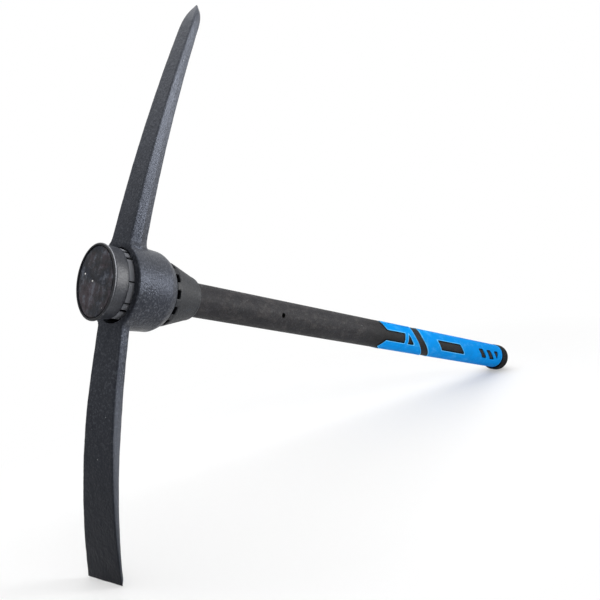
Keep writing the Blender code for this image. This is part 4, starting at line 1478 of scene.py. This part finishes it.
def crest_outline():
    """The dark point that runs into the front of the grip above and below."""
    start = grip_sizes().grip_start
    lead = start - GRIP_LEAD
    return [
        (CREST_HALF_WIDTH, lead),
        (CREST_HALF_WIDTH, start),
        (0.0, start + CREST_LENGTH),
        (-CREST_HALF_WIDTH, start),
        (-CREST_HALF_WIDTH, lead),
    ]


def front_windows():
    """Openings of the front grip: the way each is cut through, and its outline."""
    grip = grip_sizes()
    triangle = [
        (grip.triangle_start, -grip.window_drop),
        (grip.triangle_start + grip.lean_run, -grip.window_drop),
        (grip.triangle_start, grip.window_top),
    ]
    return {
        "tongue": (ALONG_SIDE, tongue_outline()),
        "crest": (FROM_ABOVE, crest_outline()),
        "triangle": (ALONG_SIDE, triangle),
    }


def rear_windows():
    """Openings of the rear grip, given as for the front grip."""
    grip = grip_sizes()
    last_drop = LAST_HATCH_LENGTH / grip.window_lean
    last_hatch = [
        (grip.last_hatch_end, grip.window_top - last_drop),
        (grip.last_hatch_end, grip.window_top),
        (grip.last_hatch_start, grip.window_top),
    ]
    second_hatch = grip.hatch_start + grip.hatch_pitch
    return {
        "long_window": (ALONG_SIDE, slanted(grip.long_window_start, grip.long_window_length)),
        "hatch_1": (ALONG_SIDE, slanted(grip.hatch_start, grip.hatch_length)),
        "hatch_2": (ALONG_SIDE, slanted(second_hatch, grip.hatch_length)),
        "hatch_3": (ALONG_SIDE, last_hatch),
    }


def band_front(x, z):
    """Where the front edge of the band crosses a point of the handle's outline."""
    grip = grip_sizes()
    curl = np.where(z > 0, BAND_TOP_CURL, -BAND_BOTTOM_CURL)
    return grip.band_start - grip.band_bow * np.abs(x) - grip.band_lean * z + curl * z ** 2


def band_rear(x, z):
    return band_front(x, z) + grip_sizes().band_length


def grip_half_sizes():
    return grown(handle_sizes().shaft, GRIP_PROUD)


def sleeve_tube(name, front_edge, rear_edge, outer, inner, bevel, rings):
    """A tube whose ends follow two edges, each a function of the grip outline's x and z."""
    outline = oval(0.0, *grip_half_sizes(), SHAFT_SEGMENTS)
    ends = [(front_edge(x, z), rear_edge(x, z)) for x, _, z in outline]
    narrow = grown(outer, -bevel)
    stations = [(0.0, 0.0, narrow)]
    stations += [(share, bevel * (1 - 2 * share), outer) for share in spread(0.0, 1.0, rings)]
    stations += [(1.0, 0.0, narrow), (1.0, 0.0, inner), (0.0, 0.0, inner)]
    tube = []
    for share, shift, half_sizes in stations:
        points = oval(0.0, *half_sizes, SHAFT_SEGMENTS)
        tube.append([
            (x, near + (far - near) * share + shift, z)
            for (x, _, z), (near, far) in zip(points, ends)
        ])
    return loft(name, tube, closed=True)


def cut_windows(sleeve, windows, growth):
    """Cut a sleeve, or the pocket that takes it, by its windows grown by a distance."""
    for window, (direction, outline) in windows.items():
        corner = max(WINDOW_CORNER + growth, GAP)
        edge = rounded_outline(offset_outline(outline, growth), corner)
        opening = prism(f"{sleeve.name}_{window}", edge, CUT_REACH, direction)
        combine(sleeve, opening, "DIFFERENCE")
    return sleeve


def make_pocket(name, front_edge, rear_edge, windows):
    """The seat of a sleeve, which leaves the jacket standing in the sleeve's windows."""
    handle = handle_sizes()
    reach = max(handle.shaft) + GRIP_SEAT_DEPTH
    pocket = sleeve_tube(name, front_edge, rear_edge, (reach, reach), handle.seat, GAP, 1)
    return cut_windows(pocket, windows, -ISLAND_GAP)


def make_jacket():
    """The skin over the core, with the seats of the grips and the pin hole."""
    handle = handle_sizes()
    grip = grip_sizes()
    core_bore = grown((handle.core_radius, handle.core_radius), GAP)
    jacket = oval_tube(
        "moulded_jacket", JACKET_TOP, handle.jacket_end, handle.shaft, core_bore,
        SHAFT_SEGMENTS)
    front = make_pocket(
        "front_pocket", lambda x, z: grip.grip_start - GAP,
        lambda x, z: band_front(x, z) + BAND_SLACK, front_windows())
    rear = make_pocket(
        "rear_pocket", lambda x, z: band_rear(x, z) - BAND_SLACK,
        lambda x, z: handle.jacket_end + GRIP_SEAT_DEPTH, rear_windows())
    combine(jacket, front, "DIFFERENCE")
    combine(jacket, rear, "DIFFERENCE")
    across = Matrix.Translation((0, handle.pin_hole_at, 0)) @ Matrix.Rotation(math.pi / 2, 4, "Y")
    hole = rod("pin_hole", PIN_HOLE_RADIUS, 2 * CUT_REACH, across, PIN_HOLE_SEGMENTS)
    combine(jacket, hole, "DIFFERENCE")
    return shade(settle(jacket))


def distance_to_outline(points, outline):
    """Shortest distance in the plane from each point to a closed outline."""
    nearest = np.full(len(points), np.inf)
    corners = np.array(outline, dtype=float)
    for start, end in zip(corners, np.roll(corners, -1, axis=0)):
        run = end - start
        share = np.clip((points - start) @ run / (run @ run), 0.0, 1.0)
        away = points - start - share[:, None] * run
        nearest = np.minimum(nearest, np.linalg.norm(away, axis=1))
    return nearest


def outer_skin(places):
    """Which vertices lie on the outside of a sleeve, as true or false."""
    half_width, half_depth = grip_half_sizes()
    reach = np.hypot(places[:, 0] / half_width, places[:, 2] / half_depth)
    return reach > 1 - OUTER_SKIN / half_width


def raise_lips(sleeve, windows, band_edge, end):
    """Raise a thin lip round the sleeve's openings and mark it for the material, which paints a
    highlight on it.
    """
    grip = grip_sizes()
    places = vertex_places(sleeve)
    nearest = np.abs(places[:, 1] - end)
    for direction, outline in windows.values():
        columns = (1, 2) if direction is ALONG_SIDE else (0, 1)
        opening = offset_outline(outline, WINDOW_GAP)
        nearest = np.minimum(nearest, distance_to_outline(places[:, columns], opening))
    past_band = places[:, 1] - band_edge(places[:, 0], places[:, 2])
    steepness = math.sqrt(1 + grip.band_lean ** 2 + grip.band_bow ** 2)
    nearest = np.minimum(nearest, np.abs(past_band) / steepness)
    lip = np.clip(1 - nearest / LIP_WIDTH, 0.0, 1.0) * outer_skin(places)
    reach = np.hypot(places[:, 0], places[:, 2])
    places[:, (0, 2)] *= (1 + LIP_HEIGHT * lip / reach)[:, None]
    move_vertices(sleeve, places)
    outside = outer_skin(places)
    mark(sleeve, "lip", lip)
    # The inner faces and window walls, which the material paints dark as shade
    mark(sleeve, "inside", 1.0 - outside)
    below = (places[:, 2] < -TONGUE_HALF_HEIGHT) * outside
    away = np.abs(places[:, 1] - grip.tongue_end)
    mark(sleeve, "mould_line", np.clip(1 - away / MOULD_LINE_WIDTH, 0.0, 1.0) * below)
    shade(sleeve)


def make_grip(name, front_edge, rear_edge, windows):
    """A rubber sleeve with bevelled ends, its windows a little wider than the jacket in them."""
    inner = grown(handle_sizes().seat, GAP)
    reach = rear_edge(0.0, 0.0) - front_edge(0.0, 0.0)
    rings = round(float(reach) / GRIP_RING_PITCH)
    sleeve = sleeve_tube(
        name, front_edge, rear_edge, grip_half_sizes(), inner, GRIP_EDGE, rings)
    return settle(cut_windows(sleeve, windows, WINDOW_GAP))


def make_butt_cap():
    """The domed end cap, its socket over the bare end of the jacket."""
    handle = handle_sizes()
    socket = grown(handle.seat, GAP)
    half_width = handle.shaft_half_width + BUTT_SIDE_PROUD
    half_depth = handle.shaft_half_depth + BUTT_TOP_PROUD
    dome_start = handle.butt_start + BUTT_RIM_LENGTH
    dome_length = handle.handle_length - BUTT_DOME_INSET - dome_start
    stations = [
        (handle.butt_start, half_width - BUTT_EDGE, half_depth - BUTT_EDGE),
        (handle.butt_start + BUTT_EDGE, half_width, half_depth),
    ]
    for along, drop in quarter_turns(BUTT_DOME_STEPS):
        stations.append((
            dome_start + dome_length * along,
            half_width - BUTT_DOME_SIDE_DROP * drop,
            half_depth - BUTT_DOME_INSET * along - BUTT_DOME_TOP_DROP * drop,
        ))
    ends = (handle.socket_end, handle.butt_start)
    inside = [oval(y, *socket, SHAFT_SEGMENTS) for y in ends]
    outside = [
        [(x, y, z - BUTT_HANG) for x, y, z in oval(*station, SHAFT_SEGMENTS)]
        for station in stations
    ]
    return shade(loft("domed_butt_cap", inside + outside))


# Stage

# Camera in the tool's frame: where it stands, and which ways its right and up point
CAMERA_PLACE = (0.70625, -0.64173, -0.06428)
CAMERA_RIGHT = (0.80796, 0.57875, 0.11070)
CAMERA_UP = (-0.04697, -0.12402, 0.99117)
SENSOR_WIDTH = 36.0

WHITE = (1.0, 1.0, 1.0)
FLOOR_SIZE = 12.0
# Share of pure white in the floor next to the tool, and where it takes over altogether
FLOOR_WHITE = 0.38
FLOOR_FADE_FROM = (0.0, 0.03, 0.0)
FLOOR_FADE_SQUEEZE = (1.0, 0.5, 1.0)
FLOOR_FADE_START = 0.26
FLOOR_FADE_END = 0.42

# Soft lights over the floor: where they hang, what they face, and their sides
SIDE_LIGHT_PLACE = (2.23, 1.65, 0.58)
SIDE_LIGHT_SIZE = (1.3, 0.8)
SIDE_LIGHT_SPREAD = math.radians(34)
TOP_LIGHT_PLACE = (-0.3, 0.1, 3.0)
TOP_LIGHT_SIZE = (3.0, 4.5)
TOP_LIGHT_SPREAD = math.radians(180)
HEAD_MIDDLE = (0.0, -0.42, 0.37)
FLOOR_MIDDLE = (0.0, 0.1, 0.0)


def seen_directly(tree):
    """1 for rays that show the backdrop itself, straight or by reflection, and 0 for others."""
    rays = add(tree, "ShaderNodeLightPath").outputs
    seen = rays["Is Camera Ray"]
    for other in ("Is Glossy Ray", "Is Transmission Ray"):
        either = add(tree, "ShaderNodeMath", {0: seen, 1: rays[other]}, operation="MAXIMUM")
        seen = either.outputs[0]
    return seen


def studio_paper():
    """Matt white background paper, which burns out to plain white away from the tool."""
    floor = settings().stage.floor
    material, tree = new_material("studio_paper", floor)
    paper = add(tree, "ShaderNodeBsdfDiffuse", {"Color": floor})
    white = add(tree, "ShaderNodeEmission", {"Color": WHITE, "Strength": 1.0})
    where = add(tree, "ShaderNodeTexCoord").outputs["Object"]
    squeezed = add(tree, "ShaderNodeVectorMath", {
        0: where, 1: FLOOR_FADE_SQUEEZE}, operation="MULTIPLY")
    away = add(tree, "ShaderNodeVectorMath", {
        0: squeezed.outputs["Vector"], 1: FLOOR_FADE_FROM}, operation="DISTANCE")
    fade = (away.outputs["Value"], FLOOR_FADE_START, FLOOR_FADE_END, FLOOR_WHITE, 1.0)
    mixed = add(tree, "ShaderNodeMixShader", {
        0: share_of(tree, fade, (seen_directly(tree), 0.0, 1.0)),
        1: paper.outputs[0],
        2: white.outputs[0],
    })
    add(tree, "ShaderNodeOutputMaterial", {"Surface": mixed.outputs[0]})
    return material


def make_floor():
    """A flat square of the paper, wide enough for every view."""
    form = bmesh.new()
    bmesh.ops.create_grid(form, x_segments=1, y_segments=1, size=FLOOR_SIZE / 2)
    mesh = bpy.data.meshes.new("studio_floor")
    form.to_mesh(mesh)
    form.free()
    mesh.materials.append(studio_paper())
    new_object("studio_floor", mesh)


def make_surround():
    """A room that looks white and lights the tool evenly and more dimly."""
    world = bpy.data.worlds.new("studio_room")
    bpy.context.scene.world = world
    world.use_nodes = True
    tree = world.node_tree
    tree.nodes.clear()
    strength = share_of(tree, (seen_directly(tree), 0.0, 1.0, settings().stage.surround, 1.0))
    room = add(tree, "ShaderNodeBackground", {"Color": WHITE, "Strength": strength})
    add(tree, "ShaderNodeOutputWorld", {"Surface": room.outputs[0]})


def make_light(name, power, spot, target, size, spread_angle):
    """A soft rectangular light; a small spread angle is a grid in front of it."""
    lamp = bpy.data.lights.new(name, "AREA")
    lamp.shape = "RECTANGLE"
    lamp.size, lamp.size_y = size
    lamp.energy = power
    lamp.spread = spread_angle
    light = new_object(name, lamp)
    light.location = spot
    facing = Vector(target) - Vector(spot)
    light.rotation_euler = facing.to_track_quat("-Z", "Y").to_euler()


def make_camera():
    lens = bpy.data.cameras.new("photo_camera")
    lens.sensor_width = SENSOR_WIDTH
    lens.lens = settings().stage.focal_length
    camera = new_object("photo_camera", lens)
    right = Vector(CAMERA_RIGHT).normalized()
    up = Vector(CAMERA_UP).normalized()
    turned = Matrix((right, up, right.cross(up))).transposed().to_4x4()
    camera.matrix_world = TOOL @ Matrix.Translation(CAMERA_PLACE) @ turned
    bpy.context.scene.camera = camera


# Operators

class PICKAXE_OT_head(bpy.types.Operator):
    """Forge the head: its eye, its pick and its mattock blade"""

    bl_idname = "pickaxe.head"
    bl_label = "Forged Head"

    def execute(self, context):
        place(make_forged_head(), forged_steel_in_black_enamel(), "pick_head", "painted_steel")
        return {"FINISHED"}


class PICKAXE_OT_plug(bpy.types.Operator):
    """Mould the flared plug that wedges the head, and the disc in its end"""

    bl_idname = "pickaxe.plug"
    bl_label = "Plug and Disc"

    def execute(self, context):
        place(make_swell_plug(), glass_filled_nylon(), "swell_plug", "plug_plastic")
        place(make_disc(), scuffed_nylon(), "end_disc", "plug_plastic")
        return {"FINISHED"}


class PICKAXE_OT_handle(bpy.types.Operator):
    """Mould the jacket, the collar behind the head and the cap at the butt"""

    bl_idname = "pickaxe.handle"
    bl_label = "Jacket, Collar and Butt"

    def execute(self, context):
        place(make_collar(), textured_polypropylene(), "locking_collar", "jacket_plastic")
        place(make_jacket(), handled_polypropylene(), "shaft_jacket", "jacket_plastic")
        place(make_butt_cap(), dark_polypropylene(), "butt_cap", "jacket_plastic")
        return {"FINISHED"}


class PICKAXE_OT_core(bpy.types.Operator):
    """Finish the glass-fibre rod inside the handle"""

    bl_idname = "pickaxe.core"
    bl_label = "Glass-fibre Core"

    def execute(self, context):
        core = frame["nodes"]["fibreglass_core"]
        core.data.materials.clear()
        core.data.materials.append(pultruded_glass_fibre())
        return {"FINISHED"}


class PICKAXE_OT_grips(bpy.types.Operator):
    """Mould the two rubber sleeves of the grip"""

    bl_idname = "pickaxe.grips"
    bl_label = "Rubber Grips"

    def execute(self, context):
        grip = grip_sizes()
        rubber = azure_thermoplastic_rubber()
        front = make_grip(
            "front_sleeve", lambda x, z: grip.grip_start, band_front, front_windows())
        raise_lips(front, front_windows(), band_front, grip.grip_start)
        place(front, rubber, "front_grip", "grip_rubber")
        end = handle_sizes().grip_end
        rear = make_grip("rear_sleeve", band_rear, lambda x, z: end, rear_windows())
        raise_lips(rear, {"long_window": rear_windows()["long_window"]}, band_rear, end)
        place(rear, rubber, "rear_grip", "grip_rubber")
        return {"FINISHED"}


class PICKAXE_OT_stage(bpy.types.Operator):
    """Set up the studio floor, the soft lights and the camera"""

    bl_idname = "pickaxe.stage"
    bl_label = "Studio Stage"

    def execute(self, context):
        stage = settings().stage
        make_floor()
        make_surround()
        make_light(
            "side_light", stage.side_light, SIDE_LIGHT_PLACE, HEAD_MIDDLE, SIDE_LIGHT_SIZE,
            SIDE_LIGHT_SPREAD)
        make_light(
            "top_light", stage.top_light, TOP_LIGHT_PLACE, FLOOR_MIDDLE, TOP_LIGHT_SIZE,
            TOP_LIGHT_SPREAD)
        make_camera()
        context.scene.view_settings.view_transform = "Standard"
        return {"FINISHED"}


class PICKAXE_PT_pieces(bpy.types.Panel):
    """The pickaxe's pieces, with their sizes and colours"""

    bl_idname = "PICKAXE_PT_pieces"
    bl_label = "Pickaxe"
    bl_space_type = "VIEW_3D"
    bl_region_type = "UI"
    bl_category = "Pickaxe"

    def draw(self, context):
        for operator in OPERATORS:
            self.layout.operator(operator.bl_idname)
        for name in ("head", "handle", "grip", "colours", "stage"):
            group = getattr(context.scene.pickaxe, name)
            section = self.layout.box()
            section.label(text=name.capitalize())
            for size in group.bl_rna.properties.keys():
                if size not in {"rna_type", "name"}:
                    section.prop(group, size)


GROUPS = (
    PickaxeHeadSizes, PickaxeHandleSizes, PickaxeGripSizes, PickaxeColours, PickaxeStage,
    PickaxeSettings,
)
OPERATORS = (
    PICKAXE_OT_head, PICKAXE_OT_plug, PICKAXE_OT_handle, PICKAXE_OT_core, PICKAXE_OT_grips,
    PICKAXE_OT_stage,
)


def register():
    for item in (*GROUPS, *OPERATORS, PICKAXE_PT_pieces):
        bpy.utils.register_class(item)
    bpy.types.Scene.pickaxe = bpy.props.PointerProperty(
        type=PickaxeSettings, name="Pickaxe", description="Settings of the pickaxe")


def unregister():
    del bpy.types.Scene.pickaxe
    for item in (PICKAXE_PT_pieces, *reversed(OPERATORS), *reversed(GROUPS)):
        bpy.utils.unregister_class(item)


def main():
    register()
    bpy.ops.pickaxe.head()
    bpy.ops.pickaxe.plug()
    bpy.ops.pickaxe.handle()
    bpy.ops.pickaxe.core()
    bpy.ops.pickaxe.grips()
    bpy.ops.pickaxe.stage()


if __name__ == "__main__":
    main()
